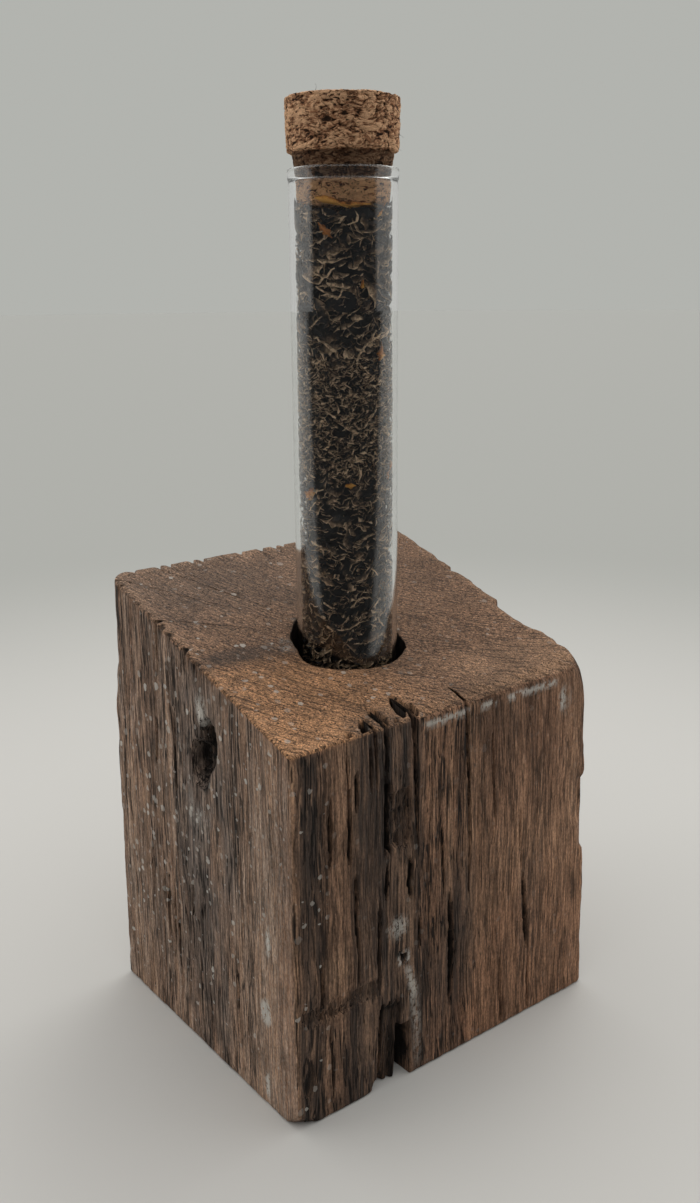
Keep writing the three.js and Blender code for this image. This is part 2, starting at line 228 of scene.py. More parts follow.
towards_viewer = lined_up(0, 0)
left_of_viewer = lined_up(-90, 0).ramp(-0.2, 0.2)
in_front = (towards_viewer - left_of_viewer * 0.03).ramp(0.24, 0.29)
high_up = sky.read("ShaderNodeSeparateXYZ", "Z", {0: direction})
tent = sky.mix(left_of_viewer, TENT_RIGHT, TENT_LEFT)
tent = towards_viewer.graded(TENT_BACK, (-0.70, 0.20, tent))
tent = tent.towards(TENT_BACK, high_up.ramp(0.0, 0.30, 0.45, 0.0))
tent = tent.towards(high_up.graded(DARK_ROOM, (0.42, 0.66, CEILING)), in_front)
tent = tent.towards(TENT_ROOF, lined_up(180, 72).ramp(0.45, 0.75))
tent = tent.towards(BACK_LAMP, lined_up(150, 50).ramp(0.93, 0.97))
tent = tent.towards(BACKDROP, sky.read("ShaderNodeLightPath", "Is Camera Ray"))
shown = sky.add("ShaderNodeBackground", {"Color": tent, "Strength": 1.0})
world.node_tree.links.new(shown.outputs[0], sky.add("ShaderNodeOutputWorld").inputs["Surface"])

# Oak block. One length of reclaimed oak, weathered and cracked along the grain, sawn
# square at the foot and on a slope at the top, with a blind socket bored for the tube.
# It stands on its foot.

# In millimetres: along the front face from its left end, along the left face from its
# front end, and up from the foot
BLOCK_WIDTH = 97.6
BLOCK_DEPTH = 83.9
FRONT_HEIGHT = 94.3
BACK_HEIGHT = 117.1
RIGHT_TOP_INSET = 1.7
FRONT_TOP_INSET = 2.3
LEFT_TOP_INSET = 1.6
SOCKET_FROM_LEFT = 42.4
SOCKET_FROM_FRONT = 35.0
SOCKET_RADIUS = 14.3
SOCKET_FLOOR = 64.01
TOP_SLOPE = (BACK_HEIGHT - FRONT_HEIGHT) / BLOCK_DEPTH
MILLIMETRE = 0.001


def lattice(cell, seed):
    """A steady random number from 0 to 1 for each cell of a grid."""
    mixed = cell[..., 0] * 73856093 ^ cell[..., 1] * 19349663 ^ cell[..., 2] * 83492791 ^ seed * 7919
    mixed = (mixed ^ (mixed >> 13)) * 1274126177 & 0xFFFFFFFF
    mixed = (mixed ^ (mixed >> 15)) * 668265263 & 0xFFFFFFFF
    return ((mixed ^ (mixed >> 16)) & 0xFFFF) / 65535


def noise(points, seed):
    """Smooth noise from -1 to 1 with a grain of one unit."""
    base = np.floor(points).astype(np.int64)
    part = points - base
    part = part * part * (3 - 2 * part)
    total = np.zeros(points.shape[:-1])
    for corner in np.ndindex(2, 2, 2):
        share = np.prod(np.where(corner, part, 1 - part), axis=-1)
        total += share * lattice(base + corner, seed)
    return 2 * total - 1


def rough(seed, octaves, *axes):
    """Noise from -1 to 1, with finer layers on top, along one to three axes."""
    axes = axes + (0,) * (3 - len(axes))
    points = np.stack(np.broadcast_arrays(*axes), axis=-1).astype(float)
    layers = [noise(points * 2**k, seed + k) / 2**k for k in range(octaves)]
    return sum(layers) / (2 - 2.0 ** (1 - octaves))


def within(value, low, high, blur):
    """1 between low and high, falling to 0 over the blur on either side."""
    rise = np.clip((value - low) / blur + 0.5, 0, 1)
    fall = np.clip((high - value) / blur + 0.5, 0, 1)
    share = np.minimum(rise, fall)
    return share * share * (3 - 2 * share)


def spot(along, up, centre, reach, blur=0.35):
    """1 inside an upright ellipse, falling to 0 at its edge."""
    out = np.hypot((along - centre[0]) / reach[0], (up - centre[1]) / reach[1])
    return np.clip((1 - out) / blur, 0, 1)


def spaced(length, usual, finer):
    """Places along a face, closer together where (from, to, step) asks for it."""
    grid = np.linspace(0, length, 4001)
    step = np.full(grid.size, usual)
    for low, high, small in finer:
        step[(grid > low) & (grid < high)] = small
    count = np.concatenate([[0], np.cumsum(np.diff(grid) / step[1:])])
    number = math.ceil(count[-1])
    return np.interp(np.arange(number) * count[-1] / number, count, grid)


# Each crack is a line of (height, place along the face, half width, depth)
FRONT_CRACKS = [
    [(97, 27.2, 0.75, 8), (88, 27.3, 0.66, 8), (80, 27.0, 0.50, 6), (76, 27.3, 0.6, 5), (64, 27.2, 0.8, 4)],
    [(97, 36.0, 0.80, 8), (86, 36.1, 0.75, 8), (78, 36.3, 0.62, 6), (72, 36.5, 0.45, 5), (62, 36.8, 0.25, 2)],
    [(97, 53.2, 0.55, 7), (85, 53.2, 0.52, 7), (72, 53.6, 0.50, 6), (56, 54.0, 0.44, 5), (43, 53.6, 0.25, 1)],
    [(96, 23.6, 0.50, 4), (88, 24.0, 0.40, 3), (80, 24.3, 0.2, 1)],
    [(59, 34.0, 0.30, 1), (57, 34.4, 0.90, 2.6), (53, 33.9, 1.0, 2.6), (49, 34.6, 0.4, 1)],
    [(46, 47.0, 0.20, 0.5), (40, 47.4, 0.80, 2), (30, 47.8, 1.1, 3.5), (20, 47.6, 0.9, 3), (14, 47.4, 0.3, 1)],
    [(41, 73.4, 0.30, 1), (34, 74.0, 0.70, 2.5), (27, 74.4, 0.80, 3), (20, 74.8, 0.3, 1)],
    [(17, 75.6, 0.20, 0.6), (10, 75.3, 0.45, 1.5), (2, 75.6, 0.4, 1)],
    [(22, 64.8, 0.20, 0.6), (12, 65.2, 0.40, 1.5), (2, 65.6, 0.3, 1)],
    [(81, 10.8, 0.30, 1.0), (73, 10.6, 0.62, 2.8), (65, 10.4, 0.30, 1.0)],
    [(90, 15.8, 0.25, 0.8), (75, 16.0, 0.50, 2.2), (70, 15.9, 0.66, 3.0), (64, 15.9, 0.30, 1.0)],
    [(41, 7.8, 0.30, 1.0), (36, 7.7, 0.60, 2.4), (31, 7.6, 0.30, 1.0)],
    [(60, 17.7, 0.30, 1.0), (54, 17.9, 0.62, 2.8), (42, 18.3, 0.50, 2.2), (32, 18.6, 0.30, 1.0)],
    [(51, 24.9, 0.25, 0.8), (44, 24.8, 0.50, 2.4), (36, 24.7, 0.46, 2.2), (28, 24.7, 0.25, 0.8)],
    [(64, 44.6, 0.20, 0.6), (55, 45.0, 0.35, 1.2), (46, 45.4, 0.2, 0.6)],
    [(83, 62.0, 0.20, 0.4), (66, 62.8, 0.30, 0.9), (58, 63.2, 0.2, 0.4)],
    [(60, 72.2, 0.20, 0.4), (48, 72.6, 0.30, 0.9), (42, 72.8, 0.2, 0.4)],
    [(24, 10.2, 0.20, 0.5), (14, 10.6, 0.40, 1.2), (4, 10.8, 0.25, 0.6)],
    [(85, 18.2, 0.30, 1.0), (81, 18.2, 0.60, 2.6), (76, 18.1, 0.30, 1.0)],
    [(58, 27.1, 0.30, 1.0), (54, 27.1, 0.62, 2.6), (50, 27.1, 0.30, 1.0)],
    [(42, 37.2, 0.30, 0.8), (38, 37.3, 0.60, 2.4), (34, 37.3, 0.30, 0.8)],
    [(90, 22.6, 0.30, 1.0), (85, 22.6, 0.55, 2.6), (80, 22.6, 0.30, 1.0)],
]
LEFT_CRACKS = [
    [(85, 60.2, 0.25, 0.8), (80, 60.4, 0.65, 2.2), (72, 60.6, 0.3, 0.8)],
    [(92, 50.8, 0.20, 0.6), (80, 51.0, 0.45, 1.6), (62, 51.3, 0.2, 0.6)],
    [(109, 44.8, 0.30, 0.8), (104, 45.0, 0.55, 2.0), (95, 45.3, 0.2, 0.6)],
    [(116, 58.4, 0.30, 1.2), (104, 58.6, 0.45, 1.6), (96, 58.8, 0.2, 0.6)],
    [(43, 57.6, 0.30, 0.8), (36, 57.8, 0.60, 2.2), (20, 58.0, 0.3, 0.8)],
    [(41, 54.6, 0.30, 0.8), (34, 54.8, 0.55, 2.0), (18, 55.2, 0.3, 0.8)],
    [(36, 52.4, 0.20, 0.6), (28, 52.8, 0.45, 1.5), (14, 53.0, 0.2, 0.6)],
    [(42, 59.8, 0.20, 0.6), (37, 60.0, 0.45, 1.6), (28, 60.2, 0.2, 0.6)],
    [(44, 65.4, 0.20, 0.5), (40, 65.6, 0.40, 1.2), (34, 65.8, 0.2, 0.5)],
    [(50, 44.6, 0.20, 0.6), (43, 44.8, 0.40, 1.4), (36, 45.0, 0.2, 0.6)],
    [(46, 40.2, 0.20, 0.6), (38, 40.4, 0.40, 1.4), (30, 40.6, 0.2, 0.6)],
    [(71, 16.6, 0.20, 0.5), (67, 16.8, 0.30, 1.0), (62, 16.9, 0.2, 0.5)],
    [(30, 24.6, 0.20, 0.5), (22, 24.8, 0.35, 1.0), (10, 25.0, 0.2, 0.5)],
]


def cracked(cracks, along, up, seed):
    """How deep a set of cracks is at each place of a face."""
    depth = np.zeros(along.shape)
    for number, crack in enumerate(cracks):
        line = np.array(sorted(crack))
        wander = 0.28 * rough(seed + number, 2, up * 0.12)
        centre = np.interp(up, line[:, 0], line[:, 1]) + wander
        half = np.interp(up, line[:, 0], line[:, 2]) * (1 + 0.35 * rough(seed + 50 + number, 2, up * 0.5))
        deep = np.interp(up, line[:, 0], line[:, 3], left=0, right=line[-1, 3])
        deep = deep * within(up, line[0, 0], line[-1, 0] + 9 * (line[-1, 0] > 90), 1.5)
        depth = np.maximum(depth, deep * np.clip(1 - (np.abs(along - centre) / half) ** 3, 0, 1))
    return depth


def front_depth(along, up):
    """How far the front face is worn, cracked or torn in, and the painted shade in its cracks and breaks."""
    torn = cracked(FRONT_CRACKS, along, up, 100)
    ragged = rough(7, 3, along * 0.9, up * 0.25)
    edge_of = 0.9 * rough(9, 3, along * 0.6, up * 0.45)
    cavity = within(along + edge_of, 27.0, 34.6, 0.8) * within(up + 1.6 * edge_of, 63.2, 77.6, 1.2)
    slot = within(along + 0.4 * edge_of, 26.7, 28.4, 0.6) * within(up + edge_of, 62.6, 79.0, 1.5)
    torn = np.maximum(torn, cavity * (1.1 + 0.8 * rough(10, 3, along * 1.2, up * 0.5)))
    torn = np.maximum(torn, slot * (3.4 + ragged))
    nail = spot(along, up, (32.3, 33.4), (0.95, 1.05), 0.3)
    torn = np.maximum(torn, 4.5 * nail)
    torn = np.maximum(torn, 1.2 * spot(along, up, (31.0, 34.6), (0.7, 0.9), 0.5))
    # The notch at the foot: two deep slots with a broken tongue standing between them
    side = 0.35 * rough(11, 2, 0, up * 0.35)
    tongue = within(along, 25.2, 30.8, 0.5) * within(up, -9, 22.0 + 2 * ragged, 1.5)
    slot_left = within(along, 24.0 + side + 0.03 * up, 25.9 + side, 0.4) * within(up, -9, 22.5, 2.5)
    slot_right = within(along, 30.3 + 0.5 * side, 34.0 + side, 0.4) * within(up, -9, 14.6, 1.0)
    torn = np.maximum(torn, slot_left * np.interp(up, [0, 21], [13, 5]))
    torn = np.maximum(torn, tongue * (np.interp(up, [0, 20], [2.4, 1.0]) + 0.9 * rough(12, 2, along * 1.3, up * 0.1)))
    torn = torn + 2.5 * spot(along, up, (24.6, 0.0), (2.6, 3.6), 0.6)
    torn = np.maximum(torn, slot_right * np.interp(up, [0, 14], [13, 10]))
    # Painted shade, full in the cracks and slots and weaker in the shallow cavity; the broken tongue is painted dark
    # and mottled
    dark = torn * np.where(cavity * (slot < 0.5) > 0.3, 0.42, 1.0)
    broken = (tongue > 0.4) & (slot_left < 0.3) & (slot_right < 0.3) & (up < 21)
    dark = np.where(broken, (0.48 + 0.6 * rough(14, 2, along * 1.6, up * 0.12)).clip(0, 1) + 0.1, dark)
    # Broken fibres along a break that crosses the grain, and splintered skin below it
    frayed = within(along, 1.5, 25, 3) * within(up + 1.2 * ragged, 26.5, 31, 1.5)
    torn = torn + frayed * np.clip(0.5 + 0.9 * rough(13, 2, along * 0.8, up * 0.8), 0, 1.2)
    splinter = spot(along, up, (3.6, 13.5), (2.2, 7.0), 0.4)
    torn = torn + splinter * (0.6 + 0.6 * ragged)
    # Painted dark over the frayed fibres and the splintered skin
    dark = np.maximum(dark, frayed * 0.55 + splinter * 0.9 * (ragged > -0.1))
    below = within(along, -9, 24, 2) * within(up, -9, 28, 2)
    edge = np.interp(up, [38, 48, 51, 58, 63, 67, 74, 77, 99], [0.2, 0.4, 1.6, 1.6, 1.0, 0.2, 0.2, 0.8, 0.9])
    step = edge * within(along, BLOCK_WIDTH - 5, BLOCK_WIDTH + 9, 8)
    return torn + 0.35 * below + 0.6 * step, dark


def left_depth(along, up):
    """The same for the left face, with its knot hole and the splinters round it."""
    torn = cracked(LEFT_CRACKS, along, up, 300)
    ragged = rough(17, 3, along * 0.5, up * 0.3)
    upper = spot(along + 0.8 * ragged, up, (34.3, 85.8), (3.9, 6.6), 0.3)
    lower = spot(along + 0.8 * ragged, up, (38.6, 79.6), (4.4, 6.6), 0.3)
    hole = np.maximum(upper * 6.4, lower * 5.0) * (0.8 + 0.35 * rough(19, 2, along * 0.9, up * 0.7))
    fibres = rough(20, 3, along * 1.7 + 0.3 * up, up * 0.22)
    hole = hole * (1 + 0.30 * fibres)
    tail = spot(along + 0.8 * ragged, up, (36.6, 75.4), (3.2, 4.8), 0.6)
    # Painted shade in the cracks and the knot hole
    dark = np.maximum(torn, np.maximum(np.maximum(upper, lower), 0.8 * tail) * (1.15 + 0.9 * fibres).clip(0.3, 1.4))
    dark = np.maximum(dark, 1.4 * spot(along + 0.6 * ragged, up, (34.0, 85.0), (2.6, 8.0), 0.5))
    torn = np.maximum(torn, hole)
    dark = dark * (1 - 0.75 * spot(along, up, (37.2, 92.6), (2.8, 4.2), 0.5))
    dark = dark * (1 - 0.5 * spot(along, up, (39.4, 82.0), (1.5, 6.5), 0.6))
    collar = spot(along, up, (37.5, 84), (8.5, 13), 0.6)
    torn = torn + collar * (0.3 + 0.55 * rough(23, 2, along * 1.1, up * 0.5)).clip(0, 1)
    comb = np.clip(3 * rough(27, 2, along * 1.5) - 0.4, 0, 1) * within(along, 30, 88, 10)
    torn = torn + 0.7 * comb * np.clip(1 - (top_at(along) - up) / (4 + 3 * rough(28, 1, along)), 0, 1)
    # Painted shade in the nicks along the top edge
    dark = np.maximum(dark, 0.8 * comb * np.clip(1 - (top_at(along) - up) / 5, 0, 1))
    groove = within(along, 36, 62, 8) * within(up, 8, 50, 12)
    torn = torn + groove * 0.7 * rough(29, 2, along * 0.9, up * 0.05).clip(0, 1)
    return torn, dark


# Bites out of the top edge of the right face: (place from the front, depth)
RIGHT_BITES = [
    (0, 0), (9, 0.3), (10.5, 0.9), (11.5, 0.2), (16.5, 0.5), (18.5, 2.0), (21, 2.6), (25, 3.1), (29, 3.0), (33.5, 2.4),
    (34.6, 0.1), (41, 0.5), (44.5, 0.9), (45.5, 0.1), (51.5, 0.3), (53.2, 1.7), (54.6, 1.5), (55.2, 0.1), (61, 0.6),
    (63, 0.0), (69, 0.5), (71, 0.0), (78, 0.5), (84, 0),
]
BACK_NICKS = [7, 14.5, 17.8, 25, 28, 40.5, 48, 52.5, 55.5, 66, 79, 88]


def hidden_depth(along, up, seed):
    """The right and back faces, which the photograph doesn't show, cracked as the others."""
    draws = np.random.default_rng(seed)
    cracks = []
    for place in draws.uniform(6, 78, 9):
        low = draws.uniform(2, 50)
        high = low + draws.uniform(12, 34)
        wide = draws.uniform(0.3, 0.6)
        middle = (low + high) / 2
        cracks.append([(low, place, 0.2, 0.5), (middle, place + 0.3, wide, 4 * wide), (high, place + 0.5, 0.2, 0.5)])
    torn = cracked(cracks, along, up, seed)
    # The depth of these cracks is also their painted shade
    return torn, torn


# The outline of the block in plan, in columns from the front left corner and round
faces = [
    (BLOCK_WIDTH, spaced(BLOCK_WIDTH, 0.6, [
        (0, 3, 0.3), (7.0, 19.4, 0.34), (22.0, 25, 0.22), (25, 38.0, 0.25), (43.8, 49, 0.3), (52.3, 54.6, 0.2),
        (61.6, 63.6, 0.3), (73, 76.2, 0.3), (90, 98, 0.45),
    ])),
    (BLOCK_DEPTH, spaced(BLOCK_DEPTH, 1.1, [(0, 8, 0.5), (18, 36, 0.55), (50, 56, 0.45), (80, 84, 0.45)])),
    (BLOCK_WIDTH, spaced(BLOCK_WIDTH, 1.1, [(0, 4, 0.4), (42, 92, 0.8), (93, 98, 0.45)])),
    (BLOCK_DEPTH, spaced(BLOCK_DEPTH, 0.75, [(0, 5, 0.45), (21, 32, 0.5), (39, 55, 0.5), (81, 84, 0.3)])),
]
face_of = np.concatenate([np.full(places.size, number) for number, (length, places) in enumerate(faces)])
travel = np.concatenate([places for length, places in faces])
columns = travel.size
tangent = np.array([(1, 0), (0, 1), (-1, 0), (0, -1)])[face_of]
inward = np.array([(0, 1), (-1, 0), (0, -1), (1, 0)])[face_of]
start = np.array([(0, 0), (BLOCK_WIDTH, 0), (BLOCK_WIDTH, BLOCK_DEPTH), (0, BLOCK_DEPTH)])[face_of]


def top_at(from_front):
    return FRONT_HEIGHT + TOP_SLOPE * from_front


def leaned(plan, share):
    """The left, right and front faces lean in a little towards the top."""
    right = plan[..., 0] / BLOCK_WIDTH
    back = plan[..., 1] / BLOCK_DEPTH
    x = share * ((1 - right) * back * LEFT_TOP_INSET - right * (1 - back) * RIGHT_TOP_INSET)
    y = share * right * (1 - back) * FRONT_TOP_INSET
    return plan + np.stack([x, y], axis=-1)


def rounded(distance, radius):
    """Moves a place near an arris onto a quarter round: how far along, and how far in."""
    turn = np.clip(1 - distance / radius, 0, 1) * math.pi / 4
    bent = distance < radius
    along = np.where(bent, radius * (1 - np.sin(turn)), distance)
    return along, np.where(bent, radius * (1 - np.cos(turn)), 0)


# The four upright corners, from the front left one round: (radius, more at the top, unevenness)
CORNERS = [(1.3, 0.2, 0.35), (1.6, 5.5, 0.5), (1.8, 1.5, 0.35), (1.8, 3.2, 0.8)]
# Chips out of the front right corner: (height, depth)
CORNER_CHIPS = [
    (22, 0.7), (24, 0.5), (26, 0), (40.5, 0), (42, 2.2), (61.3, 2.2), (62.3, 0), (70, 0), (72, 0.9), (84, 0.2),
]


def corner_radius(number, up):
    plain, rounder, unevenness = CORNERS[number]
    radius = plain + rounder * np.clip((up / FRONT_HEIGHT - 0.86) / 0.14, 0, 1) ** 1.5
    if number == 1:
        radius = radius + np.interp(up, *np.array(CORNER_CHIPS).T)
    return radius + unevenness * rough(31 + number, 3, up * 0.22)


def side_points(up, share):
    """The four faces at the heights given for every column: the points in plan, the way
    into the wood, and the painted shade in their cracks and breaks."""
    along = np.broadcast_to(travel, up.shape).copy()
    depth = np.zeros(up.shape)
    dark = np.zeros(up.shape)
    into = np.zeros(up.shape + (2,))
    for number, (length, places) in enumerate(faces):
        mine = face_of == number
        place = along[:, mine]
        high = up[:, mine]
        near_radius = corner_radius(number, high)
        far_radius = corner_radius((number + 1) % 4, high)
        near_turn = np.clip(1 - place / near_radius, 0, 1) * math.pi / 4
        far_turn = np.clip(1 - (length - place) / far_radius, 0, 1) * math.pi / 4
        aside = (np.sin(near_turn) - np.sin(far_turn))[..., None]
        into[:, mine] = inward[mine] * np.cos(near_turn + far_turn)[..., None] + tangent[mine] * aside
        to_corner = np.minimum(place, length - place)
        near, near_in = rounded(place, near_radius)
        far, far_in = rounded(length - near, far_radius)
        place = length - far
        if number == 0:
            torn, gloom = front_depth(place, high)
        elif number == 3:
            torn, gloom = left_depth(BLOCK_DEPTH - place, high)
        else:
            torn, gloom = hidden_depth(place, high, 500 + number)
            if number == 1:
                below = top_at(place) - high
                bite = np.interp(place, *np.array(RIGHT_BITES).T) + 0.25 * rough(37, 2, place * 0.8, below * 0.2)
                torn = torn + np.clip(bite, 0, None) * np.clip(1 - below / 9, 0, 1) ** 0.8
            else:
                nicks = sum(spot(BLOCK_WIDTH - place, high, (at, BACK_HEIGHT), (0.9, 3.5)) for at in BACK_NICKS)
                torn = torn + 1.5 * nicks
        torn = torn * np.clip(to_corner / 1.2, 0, 1) * np.clip(np.minimum(place, length - place) / 0.8, 0, 1)
        grain = rough(61 + number, 3, place * 0.55, high * 0.022)
        weather = 0.20 * np.clip(grain + 0.2, 0, 1) + 0.10 * rough(67, 2, place * 0.2, high * 0.08)
        depth[:, mine] = near_in + far_in + torn + weather * np.clip(to_corner / 2.5, 0, 1)
        dark[:, mine] = gloom
        along[:, mine] = place
    plan = start + tangent * along[..., None]
    return leaned(plan, share) + inward * depth[..., None], into, dark


# Rows up the sides: round the foot's edge, up the face, and closer below the top's edge
FOOT_EDGE = 1.0
FACE_ROWS = 80
TOP_EDGE_ROWS = [4.0, 3.4, 2.8, 2.2, 1.7, 1.3, 0.95, 0.65, 0.35, 0.0]
foot_turn = np.radians([90, 66, 44, 22, 0])
foot_rows = FOOT_EDGE * (1 - np.sin(foot_turn))
nominal_top = top_at((start + tangent * travel[:, None])[:, 1])
climb = np.linspace(0, 1, FACE_ROWS)[:, None]
face_rows = foot_rows[-1] + (nominal_top - TOP_EDGE_ROWS[0] - foot_rows[-1]) * climb
edge_rows = nominal_top - np.array(TOP_EDGE_ROWS[1:])[:, None]
up = np.concatenate([np.broadcast_to(foot_rows[:-1, None], (foot_rows.size - 1, columns)), face_rows, edge_rows])
foot_in = np.zeros((up.shape[0], 1))
foot_in[:foot_rows.size, 0] = FOOT_EDGE * (1 - np.cos(foot_turn))

# The top edge is crisp on the left and by the corner, and worn round along the front:
# (place along the face, how far it is worn)
FRONT_WEAR = [(0, 0.9), (3, 0.5), (24, 0.8), (38, 1.6), (42, 2.6), (84, 3.0), (97, 3.6)]
RIGHT_WEAR = [(0, 3.6), (8, 1.8), (60, 1.2), (84, 0.9)]
LEFT_WEAR = 0.9
NEAR_TOP = 12
wear = np.where(face_of == 0, np.interp(travel, *np.array(FRONT_WEAR).T), LEFT_WEAR)
wear = np.where(face_of == 1, np.interp(travel, *np.array(RIGHT_WEAR).T), wear)
edge_x, edge_y = (start + tangent * travel[:, None]).T
wear = wear * (1 + 0.25 * rough(71, 2, edge_x * 0.3, edge_y * 0.3))
below_top = nominal_top - up
risen, worn_in = rounded(below_top, wear)
plan, into, dark = side_points(up, np.clip(up / nominal_top, 0, 1))
plan = plan + into * (worn_in + foot_in)[..., None]
actual_top = top_at(plan[-1, :, 1])
height = np.where(below_top < NEAR_TOP, actual_top - risen, up)
height = np.where((below_top >= NEAR_TOP) & (up >= 2), up + (actual_top - nominal_top) * up / nominal_top, height)

# The corner nearest the viewer is broken away at its foot
CHIP = np.array([8.0, 5.5, 4.5])
short = 1 - plan[..., 0] / CHIP[0] - plan[..., 1] / CHIP[1] - height / CHIP[2]
short = np.clip(short + 0.08 * rough(73, 2, plan[..., 0] * 0.6, plan[..., 1] * 0.6, height * 0.6), 0, None)
plan = plan + short[..., None] * CHIP[:2] / 2

# The sawn top, in rings from its edge to the socket's mouth
EVENED_COLUMNS = 41
MOUTH_EDGE = 0.35
FAR_RINGS = 17
centre = np.array([SOCKET_FROM_LEFT, SOCKET_FROM_FRONT])
edge_plan = plan[-1]
ray = centre - edge_plan
reach = np.linalg.norm(ray, axis=1)
square = np.abs((ray * inward).sum(axis=1))
margin = EVENED_COLUMNS - 1
wide = np.concatenate([square[-margin:], square, square[:margin]])
square = np.convolve(wide, np.ones(EVENED_COLUMNS) / EVENED_COLUMNS, "same")[margin:-margin]
bearing = np.arctan2(-ray[:, 1], -ray[:, 0])
# How far the mouth is broken back, by bearing; it is torn on the side towards the left
TORN_MOUTH = [
    (90, -0.3), (130, -0.5), (143, -0.5), (152, 0.0), (161, 0.4), (170, 0.5), (179, 1.0), (190, 2.5), (195, 3.2),
    (202, 3.4), (209, 3.1), (215, 2.7), (226, 1.6), (236, 0.7), (245, 0.1), (258, -0.3), (289, -0.4), (312, -0.1),
    (325, 0.6), (334, 0.0), (345, -0.3),
]
lip = np.interp(np.degrees(bearing), *np.array(TORN_MOUTH).T, period=360)
lip = lip + (0.12 + 0.30 * np.clip(lip + 0.3, 0, 1)) * rough(79, 3, bearing * 10)
mouth = SOCKET_RADIUS + np.clip(lip, -0.6, None)
end_share = 1 - (mouth + MOUTH_EDGE) / reach
near_rings = np.concatenate([[0.3, 0.6, 1.0, 1.4, 1.9, 2.4, 3.0, 3.5], np.arange(4.0, 10.6, 0.5)])
near_limit = end_share * np.linspace(0.02, 0.55, near_rings.size)[:, None] ** 0.6
near_shares = np.minimum(near_rings[:, None] / square, near_limit)
far_shares = near_shares[-1] + (end_share - near_shares[-1]) * np.linspace(0, 1, FAR_RINGS + 1)[1:, None]
shares = np.concatenate([near_shares, far_shares])
inside = shares * square
slid, dropped = rounded(inside, wear)
top_plan = edge_plan + ray * np.where(inside < wear, slid / square, shares)[..., None]
top_x, top_y = top_plan[..., 0], top_plan[..., 1]
saw = 0.05 * rough(89, 2, top_x * 0.08, top_y * 0.9)
top_height = top_at(top_y) - dropped + saw * np.clip(inside / 3, 0, 1)

# Torn notches where the cracks reach the top: (from left, from front, half width, half length, slant)
TEARS = [
    (16.9, 0.4, 1.2, 1.7, 0.0), (22.4, 2.0, 1.9, 3.0, 0.15), (27.2, 3.6, 1.6, 3.4, 0.0),
    (34.3, 5.8, 1.7, 4.0, 0.36), (36.9, 2.2, 0.9, 3.2, 0.2), (30.6, 0.8, 0.9, 1.4, 0.0),
]
# Painted shade in the torn notches and in the crack at the back
top_shade = np.zeros(top_x.shape)
for from_left, from_front, half_width, half_length, slant in TEARS:
    across = top_x - from_left - slant * (top_y - from_front) + 0.25 * rough(91, 2, top_y * 0.9)
    pit = spot(across, top_y, (0, from_front), (half_width, half_length), 0.3)
    top_height = top_height - 4.5 * pit
    top_shade = np.maximum(top_shade, 2.5 * pit)
crack_back = within(top_x, 47.7, 48.3, 0.5) * within(top_y, 75, 90, 3)
top_height = top_height - 0.4 * crack_back
top_shade = np.maximum(top_shade, 0.5 * crack_back)

# The socket's wall, broken back at its mouth, and its flat floor
outward = -ray / reach[:, None]
mouth_height = top_at((centre + outward * mouth[:, None])[:, 1]) - MOUTH_EDGE
wall_span = mouth_height - SOCKET_FLOOR
full_depth = top_at(SOCKET_FROM_FRONT) - SOCKET_FLOOR
wall_plan = []
wall_height = []
for depth_here in np.array([0.0, 0.35, 0.8, 1.6, 2.9, 4.2, 5.6, 7.2, 16.0, full_depth]) / full_depth:
    opening = SOCKET_RADIUS + (mouth - SOCKET_RADIUS) * np.clip(1 - depth_here * wall_span / 7, 0, 1)
    wall_plan.append(centre + outward * opening[:, None])
    wall_height.append(mouth_height - depth_here * wall_span)
for share in (0.8, 0.6, 0.4, 0.2):
    wall_plan.append(centre + outward * (SOCKET_RADIUS * share))
    wall_height.append(np.full(columns, SOCKET_FLOOR))

all_plan = np.concatenate([plan, top_plan, wall_plan])
all_height = np.concatenate([height, top_height, wall_height])
corner = np.array([BLOCK_WIDTH / 2, BLOCK_DEPTH / 2])
block_points = np.concatenate([all_plan - corner, all_height[..., None]], axis=-1)
side_rows, top_rows, rows = plan.shape[0], top_plan.shape[0], block_points.shape[0]


def ring_quads(rings, segments):
    """Faces of a sheet of rings, each ring closed on itself."""
    first = np.arange(rings - 1)[:, None] * segments
    here = np.arange(segments)
    after = (here + 1) % segments
    quads = np.stack([first + here, first + after, first + segments + after, first + segments + here], axis=-1)
    return quads.reshape(-1, 4)


def object_from(name, points, quads, extra=(), smooth=True):
    mesh = bpy.data.meshes.new(name)
    mesh.from_pydata(points.reshape(-1, 3) * MILLIMETRE, [], quads.tolist() + list(extra))
    mesh.polygons.foreach_set("use_smooth", [smooth] * len(mesh.polygons))
    piece = bpy.data.objects.new(name, mesh)
    bpy.context.scene.collection.objects.link(piece)
    return piece


def ringed(name, points):
    """A piece made of closed rings, with a face across its first ring and its last."""
    rings, segments = points.shape[:2]
    last = (rings - 1) * segments
    caps = [tuple(range(segments - 1, -1, -1)), tuple(range(last, last + segments))]
    return object_from(name, points, ring_quads(rings, segments), caps)


oak_block = ringed("oak_block", block_points)


def paint(piece, name, values):
    layer = piece.data.attributes.new(name, "FLOAT", "POINT")
    layer.data.foreach_set("value", np.clip(values, 0, 1).astype(np.float32).ravel())

# Layers painted on the wood, each from 0 to 1. Blotch and patchy make their edges wander.
ARRIS_ROWS = 3
x, y, z = all_plan[..., 0], all_plan[..., 1], all_height
row_of = np.arange(rows)[:, None] * np.ones(columns)
on_side = row_of < side_rows - ARRIS_ROWS
on_top = (row_of >= side_rows - ARRIS_ROWS) & (row_of < side_rows + top_rows)
on_front = on_side & (face_of == 0)
on_left = on_side & (face_of == 3)
blotch = rough(101, 3, x * 0.12, y * 0.12, z * 0.035)
patchy = rough(103, 3, x * 0.5, y * 0.5, z * 0.2)

# Painted shade in the cracks, breaks, tears and knot hole, and over the socket's wall
hollow = np.zeros(x.shape)
hollow[:side_rows] = dark / 1.4
hollow[side_rows:side_rows + top_rows] = top_shade / 1.2
hollow[side_rows + top_rows:] = 0.75

